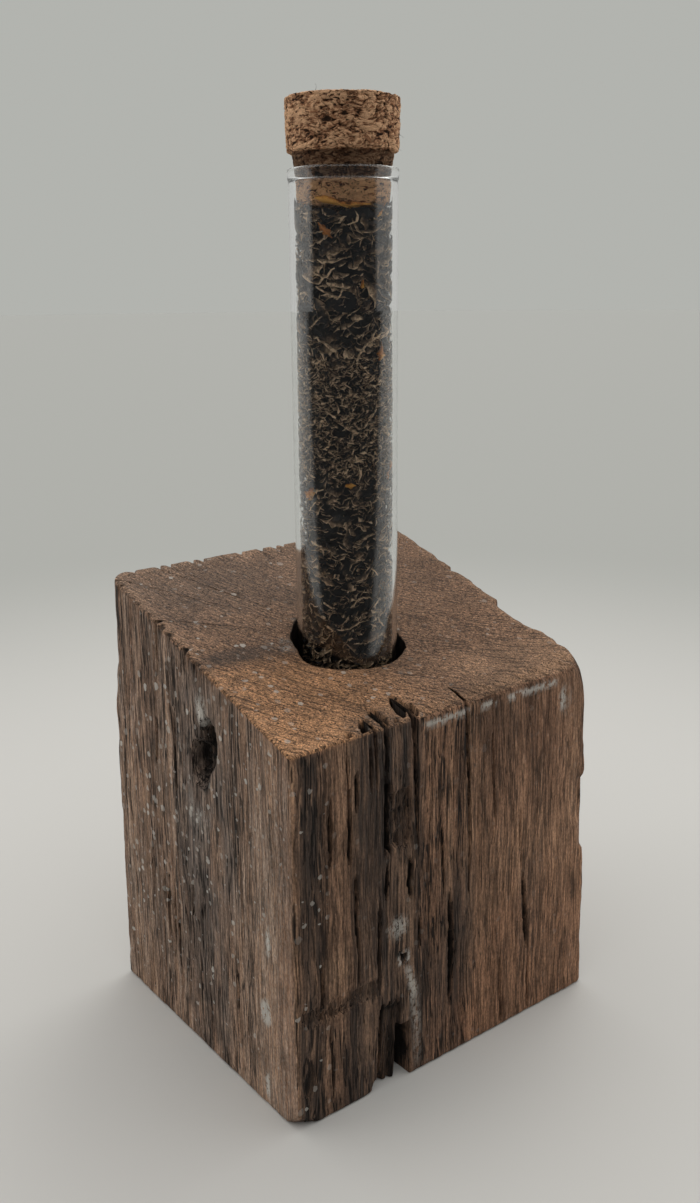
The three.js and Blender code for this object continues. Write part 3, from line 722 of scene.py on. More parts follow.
# Blue grey bleaching down the middle of the left face
bleach = on_left * within(y + 5 * blotch, 28, 48, 10) * np.clip(0.75 + 1.1 * patchy + 0.8 * blotch, 0.1, 1.2)
bleach = bleach * np.interp(z, [0, 30, 44, 66, 76, 98, 104], [0.2, 0.35, 0.9, 0.9, 0.8, 0.6, 0.0])

# Black iron stain: (centre, reach, strength) on the left face, then the front, then the top
LEFT_STAINS = [
    ((50.5, 23), (8.5, 7.5), 0.9), ((34, 18), (8, 5.5), 1.0), ((50.5, 10.5), (8, 4.5), 0.8),
    ((31, 8.5), (9, 4.5), 0.9), ((43, 33), (8, 9), 0.7), ((38, 50), (9, 12), 0.35),
]
stain = sum([on_left * spot(y + 3 * blotch, z + 4 * patchy, place, wide, 0.8) * strength * (0.7 + 0.5 * patchy)
             for place, wide, strength in LEFT_STAINS])
stain = sum([
    on_left * spot(y + blotch, z, (36.0, 87), (7.5, 14), 0.7) * 0.85,
    on_front * within(x + 0.8 * patchy, 1.2, 7.0, 2) * 0.72,
    on_front * within(x + 1.5 * patchy, 17.0, 37.5, 4) * np.interp(z, [0, 20, 60, 74, 95], [0.6, 0.9, 0.7, 0.95, 0.95]),
    on_front * within(x, -9, 24, 4) * within(z, -9, 28, 4) * 0.3,
    on_front * within(x + 2 * patchy, 36, 51, 5) * within(z + 8 * blotch, -9, 36, 10) * 0.7,
    on_front * within(x, -9, 54, 12) * 0.05 + on_front * within(z, 66, 110, 14) * 0.12,
    on_front * within(x + 2 * patchy, 44, 55, 5) * within(z + 12 * blotch, 18, 58, 18) * 0.8,
    on_front * within(x + 2 * patchy, 71, 79, 5) * within(z + 12 * blotch, 20, 46, 14) * 0.5,
    on_top * within(y + 2.0 * blotch, 34.6, 40.2, 2.6) * (0.85 + 0.4 * patchy)
    * np.interp(x, [0, 4, 15, 22, 29, 32], [0.2, 1.0, 1.0, 0.6, 0.7, 0]),
    on_top * within(y + 9 * blotch, 55, 74, 10) * within(x, 4, 45, 14) * 0.4,
    on_top * within(y, -2, 6, 4) * within(x + 2 * patchy, 18, 37, 4) * 0.7,
], stain)

# Where the oak is redder, by the near corner and low on the right, with a painted highlight along the top arris
near_warmth = within(x + 10 * blotch, -12, 36, 34) * within(y + 5 * blotch, -6, 33, 14)
warmth_and_arris_highlight = sum([
    on_top * near_warmth * np.clip(0.80 + 0.5 * patchy, 0, 1),
    on_top * within(y, -2, 9, 5) * within(x, -2, 17, 4) * 0.3 + on_top * 0.15,
    # Painted highlight along the top arris
    on_side * within(top_at(y) - z, -1, 1.4, 1.2) * 0.8,
    on_front * within(x, 40, 110, 24) * within(z + 14 * blotch, -9, 34, 30) * 0.6,
    on_front * within(x, 36, 110, 10) * 0.5,
    on_left * within(y + 3 * blotch, -5, 8, 7) * 0.5 + on_left * within(y, 66, 90, 12) * within(z, 70, 125, 24) * 0.35,
])

# White scuffs and splashes of old paint
line_across = within(x, 38.5, 53, 1) + within(x, 56.5, 62, 1) + within(x, 66, 84, 2)
streak_line = np.interp(z, [3, 14, 24, 31], [36.4, 36.2, 35.0, 33.0])
streak_strength = np.interp(z, [1, 4, 13, 24, 30, 32], [0, 0.2, 0.45, 0.9, 0.8, 0])
scuff = sum([
    on_front * within(z + 0.5 * patchy, 90.9, 92.4, 1.1) * (patchy > -0.25) * line_across * 0.85,
    on_front * spot(x + 0.8 * patchy, z, (87.4, 86.3), (3.2, 4.4), 0.9) * (0.8 + 1.4 * patchy),
    on_front * spot(x, z, (30.2, 42.6), (3.8, 3.6), 0.7) * (0.85 + 0.9 * patchy),
    on_front * within(x - streak_line, -1.1, 1.1, 1.8) * streak_strength * (0.7 + 0.8 * patchy),
    on_front * within(np.hypot(x - 32.0, z - 33.8), 1.2, 2.0, 0.8) * 0.8,
    on_left * spot(y, z, (37.2, 93.6), (3.4, 4.6), 0.7) * (1.1 + 0.9 * patchy),
    on_left * spot(y, z, (39.5, 66.5), (9, 7), 0.9) * (0.25 + 0.7 * patchy),
    on_left * within(y, 1, 16, 6) * within(z, -9, 84, 20) * 0.10,
    on_left * spot(y, z, (10.7, 45.0), (1.3, 4.6), 0.7) * (1.5 + 0.9 * patchy),
    on_left * spot(y, z, (12.4, 25.8), (2.6, 4.0), 0.6) * (1.6 + 1.2 * patchy),
    on_left * spot(y, z, (12.6, 6.0), (1.3, 4.6), 0.7) * (1.5 + 0.9 * patchy),
    on_top * spot(x, y, (24.8, 38.0), (4.2, 4.6), 0.9) * np.clip(0.3 + 1.2 * patchy, 0, 1),
])

# Where the oak is rubbed pale, with a painted highlight along the arrises: (place along the left face, height) is a
# ridge across it
PALE_RIDGE = [(8, -2.5), (13.9, 1.9), (34.6, 13.1), (57.5, 11.9), (70, 6)]
inside_edge = np.full(x.shape, 99.0)
inside_edge[side_rows:side_rows + top_rows] = inside
pale_and_arris_highlight = sum([
    on_front * spot(x, z, (12.4, 38.5), (5.0, 7.5), 0.7) * 0.9,
    on_front * within(x, 38, 100, 8) * within(blotch, 0.1, 2, 0.4) * 0.35,
    on_front * within(x, 58, 110, 20) * within(z + 14 * blotch, -9, 60, 30) * 0.9,
    on_left * within(y + 3 * blotch, 3, 26, 10) * within(z, -9, 70, 30) * 0.6,
    on_left * within(z - np.interp(y, *np.array(PALE_RIDGE).T), -0.5, 0.5, 0.9) * within(y, 8, 62, 8) * 0.7,
    # Painted highlight along the arrises: up the front left corner, along the top edge of the sides and round the top's
    # edge
    (on_front * within(x, -1, 0.9, 0.9) + on_left * within(y, -1, 1.2, 1.4)) * 0.8,
    on_side * within(top_at(y) - z, -1, 1.2, 1.0) * 0.6,
    on_top * (within(x, 60, 110, 24) * within(y, -9, 17, 8) * 0.5 + within(inside_edge, -1, 2.2, 2.0) * 0.35),
])

# Grey with age, speckled with old paint, and rubbed so that fewer pores show
age = on_top * np.clip((y - 40) / 50 + 0.15, 0, 0.8) * np.clip(1.2 - x / 90, 0, 1)
age = age + on_left * np.clip(0.75 + 0.5 * blotch, 0, 1)
specks = on_left * 1.0 + on_top * np.clip(0.75 - x / 130, 0.25, 1)
specks = specks + on_front * within(x, -5, 9, 4) * 0.5 + on_front * 0.12
rubbed = sum([
    on_left * within(y + 3 * blotch, -5, 17, 8) * within(z, -9, 92, 10),
    on_front * within(x + 4 * blotch, 57, 110, 10) * 0.8,
    on_front * within(x + 1.5 * patchy, 8, 25, 5) * within(z + 6 * blotch, 26, 99, 12) * 0.75,
])

layers = {
    "hollow": hollow, "stain": stain, "warmth_and_arris_highlight": warmth_and_arris_highlight, "scuff": scuff, "pale_and_arris_highlight": pale_and_arris_highlight, "age": age, "bleach": bleach,
    "specks": specks, "rubbed": rubbed, "end": on_top + 0.0,
}
for name, values in layers.items():
    paint(oak_block, name, values)

# Oak, in linear colour
OAK_DARK = (0.095, 0.056, 0.038, 1)
OAK_BROWN = (0.300, 0.172, 0.107, 1)
OAK_TAN = (0.540, 0.332, 0.208, 1)
PORE_DARK = (0.012, 0.008, 0.006, 1)
RED_BROWN = (0.360, 0.170, 0.092, 1)
GREY_WOOD = (0.395, 0.316, 0.260, 1)
BLUE_GREY = (0.215, 0.190, 0.178, 1)
CHARCOAL = (0.050, 0.042, 0.038, 1)
END_DARK = (0.060, 0.034, 0.022, 1)
END_BROWN = (0.245, 0.138, 0.084, 1)
END_TAN = (0.560, 0.345, 0.212, 1)
END_WARM = (0.600, 0.315, 0.155, 1)
SCUFF_WHITE = (0.68, 0.64, 0.58, 1)
CRACK_SHADE_BLACK = (0.008, 0.006, 0.005, 1)


def shared_effect(name, takes, gives):
    """A node group for an effect that several materials use, with named inputs and outputs."""
    tree = bpy.data.node_groups.new(name, "ShaderNodeTree")
    for direction, sockets in (("INPUT", takes), ("OUTPUT", gives)):
        for label, kind in sockets.items():
            tree.interface.new_socket(name=label, in_out=direction, socket_type="NodeSocket" + kind)
    nodes = Nodes(tree)
    return nodes, nodes.split("NodeGroupInput", takes), nodes.add("NodeGroupOutput").inputs


# Slow waves in three directions, kept in a colour
wave_nodes, (wave_place, wave_scale, wave_stretch), wave_gives = shared_effect(
    "slow_waves", {"Place": "Vector", "Scale": "Float", "Stretch": "Vector"}, {"Waves": "Color"})
wave_nodes.feed(wave_gives["Waves"], wave_nodes.grain(wave_scale, 2, 0.5, wave_stretch, wave_place, "Color"))


def drifted(nodes, place, scale, reach, stretch=(1, 1, 1)):
    """A place shifted by slow waves, so that the grain or the specks there don't run straight."""
    settings = {"Place": place, "Scale": scale, "Stretch": stretch}
    waves = nodes.read("ShaderNodeGroup", "Waves", settings, node_tree=wave_nodes.tree)
    shift = nodes.vectors("MULTIPLY", nodes.vectors("SUBTRACT", waves, (0.5, 0.5, 0.5)), reach)
    return nodes.vectors("ADD", place, shift)


oak, wood, wood_surface = material_for("weathered_oak", {"Specular IOR Level": 0.2})
coats = {name: wood.painted(name) for name in layers}
grained = drifted(wood, wood.place(), 60, (0.0035, 0.0035, 0.0), (1, 1, 0.35))
grained = drifted(wood, grained, 330, (0.0007, 0.0007, 0.0), (1, 1, 0.45))
bands = wood.grain(170, 3, 0.6, (1, 1, 0.035), grained)
streak = wood.grain(1000, 4, 0.7, (1, 1, 0.04), grained)
fibre = wood.grain(2100, 2, 0.6, (1, 1, 0.05), grained)
dashes = wood.grain(2300, 1, 0.5, (1, 1, 0.055), grained)
long_lines = wood.grain(420, 2, 0.55, (1, 1, 0.022), grained).lines(0.030)
hair_lines = wood.grain(800, 2, 0.5, (1, 1, 0.018), grained).lines(0.045)
where_hairs = wood.grain(420, 2, 0.5, (1, 1, 0.18)).ramp(0.44, 0.60, 0.0, 0.9)
where_lines = wood.grain(240, 2, 0.5, (1, 1, 0.20)).ramp(0.46, 0.60)
grit = wood.grain(2600, 2, 0.6, (1, 1, 0.45))
cloud = wood.grain(60, 3, 0.6, (1, 1, 0.35))

# The sides: bands and streaks along the grain, with pores as short dashes and long lines
pores_kept = 1.0 - coats["rubbed"] * 0.5
pore = (dashes + bands.ramp(0.62, 0.34, 0.02, -0.09)).ramp(0.355, 0.315)
pore = wood.maths("MAXIMUM", pore, long_lines * where_lines)
pore = wood.maths("MAXIMUM", pore, hair_lines * where_hairs) * pores_kept
evened = wood.maths("MAXIMUM", coats["age"], coats["rubbed"]) * 0.6
side = wood.mix(wood.maths("MAXIMUM", bands.ramp(0.36, 0.54), evened), OAK_DARK, OAK_BROWN)
side = side.towards(OAK_TAN, bands.ramp(0.50, 0.68, 0.0, 0.60))
side = side.towards(OAK_DARK, streak.ramp(0.44, 0.30, 0.0, 0.72) * pores_kept)
side = side.towards(OAK_TAN, streak.ramp(0.53, 0.72, 0.0, 0.48))
side = side.towards(OAK_TAN, coats["pale_and_arris_highlight"] * 0.5)
side = side.towards(RED_BROWN, coats["warmth_and_arris_highlight"] * 0.5)
side = side.towards(GREY_WOOD, coats["age"] * streak.ramp(0.35, 0.6, 0.1, 0.6))

# The sawn top: end grain, with the arcs that a round blade left, worked out as places
# along and across them
BLADE_CENTRE = (0.081, 0.0657, 0)
BLADE_RADIUS = 0.127
from_blade = {0: wood.vectors("SUBTRACT", grained, BLADE_CENTRE)}
aside, ahead = wood.split("ShaderNodeSeparateXYZ", "XY", from_blade)
out_from_blade = wood.maths("SQRT", wood.maths("POWER", aside, 2.0) + wood.maths("POWER", ahead, 2.0))
round_blade = wood.maths("ARCTAN2", ahead, aside) * BLADE_RADIUS
arced = wood.read("ShaderNodeCombineXYZ", 0, {"X": round_blade, "Y": out_from_blade})
across_saw = wood.grain(1400, 3, 0.65, (0.05, 1, 1), arced)
along_rays = wood.grain(900, 4, 0.65, (1, 0.05, 0.05), grained)
dots = wood.grain(1450, 3, 0.8, (0.45, 1, 1), arced)
sawn = dots.graded(END_DARK, (0.36, 0.56, END_BROWN))
sawn = sawn.towards(END_TAN, dots.ramp(0.54, 0.70, 0.0, 0.85))
sawn = sawn.towards(END_TAN, coats["pale_and_arris_highlight"] * 0.6)
sawn = sawn.towards(END_WARM, coats["warmth_and_arris_highlight"] * dots.ramp(0.3, 0.6, 0.1, 0.9))
sawn = sawn.towards(END_DARK, along_rays.ramp(0.52, 0.68, 0.0, 0.32))
sawn = sawn.towards(END_DARK, across_saw.ramp(0.50, 0.64, 0.0, 0.72))
sawn = sawn.towards(END_TAN, across_saw.ramp(0.45, 0.33, 0.0, 0.20))
sawn = sawn.towards(GREY_WOOD, coats["age"] * 0.25)

# Both together, with what weather and use have left on them
colour = side.towards(sawn, coats["end"])
shaded = grit.ramp(0.30, 0.70, 1.25, 0.70) * fibre.ramp(0.32, 0.68, 0.58, 1.42) * cloud.ramp(0.40, 0.66, 1.08, 0.78)
grey = wood.read("ShaderNodeCombineColor", 0, {"Red": shaded, "Green": shaded, "Blue": shaded})
colour = wood.mix(1.0, colour, grey, "MULTIPLY")
colour = colour.towards(BLUE_GREY, coats["bleach"] * streak.ramp(0.30, 0.62, 0.85, 0.40))
colour = colour.towards(CHARCOAL, coats["stain"] * streak.ramp(0.28, 0.68, 0.92, 0.42))
hole = wood.grain(2100, 1, 0.5).ramp(0.385, 0.33, 0.0, 0.9)
colour = colour.towards(PORE_DARK, wood.mix(coats["end"], pore * 0.96, hole))
covered = wood.grain(1300, 3, 0.7, (1, 1, 0.6)) + coats["scuff"] * 0.08
colour = colour.towards(SCUFF_WHITE, coats["scuff"] * covered.ramp(0.44, 0.56))

# Specks of old paint in two sizes: (cells to the metre, how rare, widest)
splashed = wood.grain(110, 2, 0.5, (1, 1, 0.5)).ramp(0.38, 0.62, 0.5, 1.0) * coats["specks"]
ragged_place = drifted(wood, wood.place(), 900, (0.0010, 0.0010, 0.0014))
speck = 0.0
for cell_scale, rare, widest in ((210.0, 0.66, 0.24), (460.0, 0.55, 0.36)):
    cells = {"Vector": ragged_place, "Scale": cell_scale}
    cell_colour, from_middle = wood.split("ShaderNodeTexVoronoi", ("Color", "Distance"), cells)
    chance, strength = wood.split("ShaderNodeSeparateColor", ("Red", "Green"), {"Color": cell_colour})
    dot = (chance.ramp(rare, 1.0, 0.0, widest) - from_middle).ramp(0.0, 0.05)
    speck = wood.maths("MAXIMUM", speck, dot * strength.ramp(0.0, 1.0, 0.25, 1.0) * splashed)
colour = colour.towards(SCUFF_WHITE, speck)
# Painted shade, near black, in the cracks, breaks and the socket
colour = colour.towards(CRACK_SHADE_BLACK, coats["hollow"].ramp(0.05, 0.8, 0.0, 0.95))
wood.feed(wood_surface.inputs["Base Color"], colour)
wood.feed(wood_surface.inputs["Roughness"], streak.ramp(0.3, 0.7, 0.80, 0.60))
relief = streak.ramp(0.3, 0.62) + fibre * 0.5 + grit * 0.5 - pore
relief = wood.mix(coats["end"], relief, dots * 2.0 - across_saw * 1.2) + speck * 0.5
bump = wood.read("ShaderNodeBump", "Normal", {"Height": relief, "Strength": 0.9, "Distance": 0.0005})
wood.feed(wood_surface.inputs["Normal"], bump)
oak_block.data.materials.append(oak)
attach(oak_block, "block")
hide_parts("wood_block")

# Glass tube. A clear test tube of blown borosilicate glass with a round foot and a lip
# thickened in the flame. It stands loose in the socket and lifts straight out.

TUBE_RADIUS = 12.5
BORE_RADIUS = 11.4
LIP_OUTER_RADIUS = 12.68
LIP_INNER_RADIUS = 11.12
LIP_HEIGHT = 2.7
LIP_ROUNDING = 0.62
TUBE_FOOT = 64.31
TUBE_RIM = 214.31
TUBE_BEND = TUBE_FOOT + TUBE_RADIUS
TUBE_SEGMENTS = 144
SOCKET_CENTRE = centre - corner
GLASS_TINT = (0.99, 0.997, 0.993, 1)


def arc(middle_radius, middle_height, radius, first, last, steps):
    turns = np.radians(np.linspace(first, last, steps + 1))
    return [(middle_radius + radius * math.cos(t), middle_height + radius * math.sin(t)) for t in turns]


def turned(profile, segments):
    """Rings of points of a profile of (radius, height) turned about the tube's axis."""
    profile = np.array(profile)
    turns = np.arange(segments) * math.tau / segments
    ring = np.stack([np.cos(turns), np.sin(turns)], axis=-1)
    spun = SOCKET_CENTRE + ring[None] * profile[:, None, :1]
    up = np.broadcast_to(profile[:, None, 1:], (len(profile), segments, 1))
    return np.concatenate([spun, up], axis=-1)


# Up the outside, over the lip and down the inside
lip_foot = TUBE_RIM - LIP_HEIGHT
tube_profile = [
    *arc(0, TUBE_BEND, TUBE_RADIUS, -89.6, 0, 24),
    *[(TUBE_RADIUS, high) for high in np.linspace(TUBE_BEND, lip_foot - 1.0, 40)[1:]],
    (TUBE_RADIUS - 0.05, lip_foot - 0.5), (TUBE_RADIUS - 0.03, lip_foot - 0.15),
    *arc(LIP_OUTER_RADIUS - 0.5, lip_foot + 0.5, 0.5, -60, 0, 5),
    *arc(LIP_OUTER_RADIUS - LIP_ROUNDING, TUBE_RIM - LIP_ROUNDING, LIP_ROUNDING, 0, 90, 8),
    *arc(LIP_INNER_RADIUS + LIP_ROUNDING, TUBE_RIM - LIP_ROUNDING, LIP_ROUNDING, 90, 180, 8),
    *arc(LIP_INNER_RADIUS + 0.6, lip_foot + 0.6, 0.6, 180, 215, 3),
    (BORE_RADIUS - 0.04, lip_foot - 0.15), (BORE_RADIUS, lip_foot - 0.5),
    *[(BORE_RADIUS, high) for high in np.linspace(lip_foot - 1.0, TUBE_BEND, 40)[:-1]],
    *arc(0, TUBE_BEND, BORE_RADIUS, 0, -89.6, 24),
]
tube_glass = ringed("tube_glass", turned(tube_profile, TUBE_SEGMENTS))
glass_finish = {"Base Color": GLASS_TINT, "Roughness": 0.0, "IOR": 1.49, "Transmission Weight": 1.0}
tube_glass.data.materials.append(material_for("clear_glass", glass_finish)[0])
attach(tube_glass, "tube")
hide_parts("glass_tube")

# Cork stopper. A stepped stopper pressed from cork granules and bark fibre: a wide
# rough head over a tapered plug, pushed by hand into the tube's lip.

CORK_PLUG_FOOT = 205.71
CORK_HEAD_FOOT = 217.71
CORK_HEAD_TOP = 229.01
PLUG_FOOT_RADIUS = 10.5
PLUG_FOOT_ROUNDING = 1.7
PLUG_RIM_RADIUS = 10.95
PLUG_HEAD_RADIUS = 11.55
HEAD_LOW_RADIUS = 12.6
HEAD_TOP_RADIUS = 12.85
CORK_SEGMENTS = 336
CORK_STEP = 0.25
CORK_DARK = (0.035, 0.018, 0.010, 1)
CORK_BROWN = (0.455, 0.215, 0.110, 1)
CORK_TAN = (0.95, 0.57, 0.33, 1)
LIT_PLUG_DARK = (0.36, 0.13, 0.048, 1)
LIT_PLUG_TAN = (1.0, 0.57, 0.29, 1)

cork_corners = np.array([
    (0.02, CORK_PLUG_FOOT), (PLUG_FOOT_RADIUS - PLUG_FOOT_ROUNDING, CORK_PLUG_FOOT),
    *arc(PLUG_FOOT_RADIUS - PLUG_FOOT_ROUNDING, CORK_PLUG_FOOT + PLUG_FOOT_ROUNDING, PLUG_FOOT_ROUNDING, -80, 0, 5),
    (PLUG_RIM_RADIUS, TUBE_RIM), (PLUG_HEAD_RADIUS, CORK_HEAD_FOOT - 0.1), (PLUG_HEAD_RADIUS + 0.1, CORK_HEAD_FOOT),
    (HEAD_LOW_RADIUS - 0.3, CORK_HEAD_FOOT), (HEAD_LOW_RADIUS, CORK_HEAD_FOOT + 0.25),
    (HEAD_TOP_RADIUS, CORK_HEAD_TOP - 0.35), (HEAD_TOP_RADIUS - 0.12, CORK_HEAD_TOP - 0.1),
    (HEAD_TOP_RADIUS - 0.4, CORK_HEAD_TOP), (0.02, CORK_HEAD_TOP),
])
travelled = np.concatenate([[0], np.cumsum(np.linalg.norm(np.diff(cork_corners, axis=0), axis=1))])
stops = np.unique(np.concatenate([travelled, np.arange(0, travelled[-1], CORK_STEP)]))
cork_profile = np.stack([np.interp(stops, travelled, cork_corners[:, k]) for k in (0, 1)], axis=-1)
cork_points = turned(cork_profile, CORK_SEGMENTS)
flow = np.gradient(cork_profile, axis=0)
outward_flow = np.stack([flow[:, 1], -flow[:, 0]], axis=-1)
outward_flow /= np.linalg.norm(outward_flow, axis=1)[:, None]
spokes = turned([(1, 0)], CORK_SEGMENTS)[0, :, :2] - SOCKET_CENTRE
cork_normals = np.concatenate([
    spokes[None] * outward_flow[:, None, :1],
    np.broadcast_to(outward_flow[:, None, 1:], cork_points.shape[:2] + (1,)),
], axis=-1)

# Its surface is folded and flaked, split between the flakes, and torn out in pits
flat = cork_points.reshape(-1, 3)
swirl = np.stack([rough(130 + k, 2, *(flat.T * 0.35)) for k in range(3)], axis=-1)
folds = 1 - 2.2 * np.abs(rough(141, 3, *(flat * (0.62, 0.62, 1.5) + 1.5 * swirl).T))
flakes = rough(147, 3, *(flat * (0.32, 0.32, 0.85) + 1.1 * swirl).T)
torn_pits = np.clip(rough(143, 3, flat[:, 0] * 0.45, flat[:, 1] * 0.45, flat[:, 2] * 1.0) * 2.6 - 0.95, 0, 1)
split = np.clip(1 - np.abs(flakes + 0.05) / 0.055, 0, 1)
strength = np.where(flat[:, 2] > CORK_HEAD_FOOT - 0.2, 1.0, 0.8)
axis_fade = np.clip(np.hypot(*(flat[:, :2] - SOCKET_CENTRE).T) / 1.5, 0, 1)
push = 0.20 * (folds - 0.4) + 0.22 * flakes - 0.34 * split - 0.6 * torn_pits
push = np.clip(push, -1.0, 0.2) * strength * axis_fade
cork_points = (flat + cork_normals.reshape(-1, 3) * push[:, None]).reshape(cork_points.shape)
cork_body = ringed("cork_body", cork_points)
# Painted shade in the splits and pits, and over the neck in the shadow of the head
below_lip = lip_foot - flat[:, 2]
shaded_neck = within(flat[:, 2], lip_foot, CORK_HEAD_FOOT - 0.1, 0.6)
crevice_and_neck_shade = (split * 0.6 + torn_pits * 1.1) * (1 - 0.7 * shaded_neck) * (1 - 0.6 * (below_lip > 0)) + 0.66 * shaded_neck
paint(cork_body, "tone", 0.5 + 0.22 * folds + 0.30 * flakes - 0.12)
paint(cork_body, "crevice_and_neck_shade", crevice_and_neck_shade)
# Painted light on the plug below the lip, fading to painted shade towards its foot
paint(cork_body, "lit_below_lip", np.clip(below_lip, 0, 1) * np.clip((flat[:, 2] - CORK_PLUG_FOOT) / 1.5 + 0.2, 0, 1))

cork, bark, cork_surface = material_for("pressed_cork", {"Roughness": 0.85, "Specular IOR Level": 0.2})
curly = drifted(bark, bark.place(), 260, (0.003, 0.003, 0.002))
threads = bark.grain(560, 4, 0.62, (1, 1, 2.3), curly, distortion=1.2)
mottle = bark.grain(300, 3, 0.6, (1, 1, 1.8)) - 0.5
light = bark.painted("tone") * 0.55 + threads + mottle * 0.5
chip = light.graded(CORK_DARK, (0.59, 0.74, CORK_BROWN), (0.73, 0.87, CORK_TAN))
chip = chip.towards(CORK_DARK, threads.ramp(0.45, 0.37, 0.0, 0.8))
# A lit copy of the cork for the plug below the lip: painted light
pressed = threads + mottle * 0.3
lit_plug = pressed.graded(LIT_PLUG_DARK, (0.40, 0.49, LIT_PLUG_TAN))
lit_plug = lit_plug.towards(CORK_DARK, pressed.ramp(0.41, 0.36, 0.0, 0.9))
chip = chip.towards(lit_plug, bark.painted("lit_below_lip"))
# Painted shade in the crevices and on the neck
chip = chip.towards(CORK_DARK, bark.painted("crevice_and_neck_shade").ramp(0.15, 0.9, 0.0, 0.9))
bark.feed(cork_surface.inputs["Base Color"], chip)
cork_relief = bark.read("ShaderNodeBump", "Normal", {"Height": threads, "Strength": 1.0, "Distance": 0.0012})
bark.feed(cork_surface.inputs["Normal"], cork_relief)
cork_body.data.materials.append(cork)
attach(cork_body, "stopper")
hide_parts("cork_stopper")

# Bark fibres that stand out of the cork's head: (bearing, height, length, rise)
FIBRES = [(205, 228.9, 1.7, 62), (323, 221.6, 1.6, -35), (318, 218.2, 0.9, -20), (150, 226.6, 0.8, 10)]
SMALL_FIBRES = 46
FIBRE_RADIUS = 0.055
FIBRE_STEPS = 5
fibre_draws = np.random.default_rng(8)
for n in range(SMALL_FIBRES):
    FIBRES.append((fibre_draws.uniform(0, 360), fibre_draws.uniform(218.2, 228.6),
                   fibre_draws.uniform(0.35, 0.8), fibre_draws.uniform(-60, 60)))
fibre_points = []
fibre_quads = []
fibre_ends = []
for number, (fibre_bearing, fibre_height, fibre_length, rise) in enumerate(FIBRES):
    turn, rise = math.radians(fibre_bearing), math.radians(rise)
    out = np.array([math.cos(turn), math.sin(turn), 0])
    around = np.array([-math.sin(turn), math.cos(turn), 0])
    share = (fibre_height - CORK_HEAD_FOOT) / (CORK_HEAD_TOP - CORK_HEAD_FOOT)
    root_radius = HEAD_LOW_RADIUS + share * (HEAD_TOP_RADIUS - HEAD_LOW_RADIUS) - 0.25
    root = np.array([*SOCKET_CENTRE, fibre_height]) + out * root_radius
    aim = out * math.cos(rise) + np.array([0, 0, math.sin(rise)])
    first = len(fibre_points)
    for t in np.linspace(0, 1, FIBRE_STEPS + 1):
        middle = root + aim * fibre_length * t + around * 0.35 * fibre_length * math.sin(2.4 * t + number)
        thick = FIBRE_RADIUS * (1 - 0.8 * t)
        for side_turn in (0, 2.094, 4.189):
            offset = around * math.cos(side_turn) + np.array([0, 0, 1]) * math.sin(side_turn)
            fibre_points.append(middle + offset * thick)
    fibre_quads.append(ring_quads(FIBRE_STEPS + 1, 3) + first)
    last = len(fibre_points) - 3
    fibre_ends += [(first + 2, first + 1, first), (last, last + 1, last + 2)]
cork_fibres = object_from("cork_fibres", np.array(fibre_points), np.concatenate(fibre_quads), fibre_ends)
cork_fibres.data.materials.append(cork)
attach(cork_fibres, "stopper")

# Tea. Loose dried leaf and snapped stalks, poured into the tube and packed against the
# glass by their own weight. A core of small leaf fills the middle, and every bit that
# touches the glass is a piece of its own shape.

TEA_TOP = 205.45
BESIDE_PLUG = 208.2
TEA_REACH = BORE_RADIUS - 0.18
SETTLED = 0.12
CORE_SEGMENTS = 120
CORE_ROWS = 250
CORE_INSET = 1.9
TEA_BLACK = (0.004, 0.004, 0.005, 1)
TEA_BROWN = (0.060, 0.040, 0.027, 1)
TEA_OLIVE = (0.330, 0.219, 0.137, 1)
TEA_TAN = (1.0, 0.74, 0.49, 1)


def glass_reach(up):
    """How far out tea can lie at a height: settled closer to the glass lower down."""
    reach = TEA_REACH + SETTLED * np.clip((185 - up) / 40, 0, 1)
    sunk = np.clip(TUBE_BEND - up, 0, TEA_REACH - 0.3)
    return np.sqrt(reach**2 - sunk**2)


core_foot = TUBE_BEND - TEA_REACH
core_heights = np.linspace(core_foot + 1.7, TEA_TOP - 1.2, CORE_ROWS)
core_profile = np.array([
    (0.02, core_foot + 1.6), *[(max(glass_reach(high) - CORE_INSET, 0.02), high) for high in core_heights],
    (7.5, TEA_TOP - 0.8), (4.0, TEA_TOP - 0.6), (0.02, TEA_TOP - 0.6),
])
core_points = turned(core_profile, CORE_SEGMENTS)
lump = rough(151, 3, core_points[..., 0] * 0.7, core_points[..., 1] * 0.7, core_points[..., 2] * 0.9)
from_axis = core_points[..., :2] - SOCKET_CENTRE
core_points[..., :2] = SOCKET_CENTRE + from_axis * (1 + 0.055 * lump)[..., None]
# The core has no tone painted, so it shows nearly black: painted shade in the gaps between the bits
tea_core = ringed("tea_core", core_points)

BIT_STEPS = 7
ROUND_GLASS = 10.6
WALL_GAP = 0.03


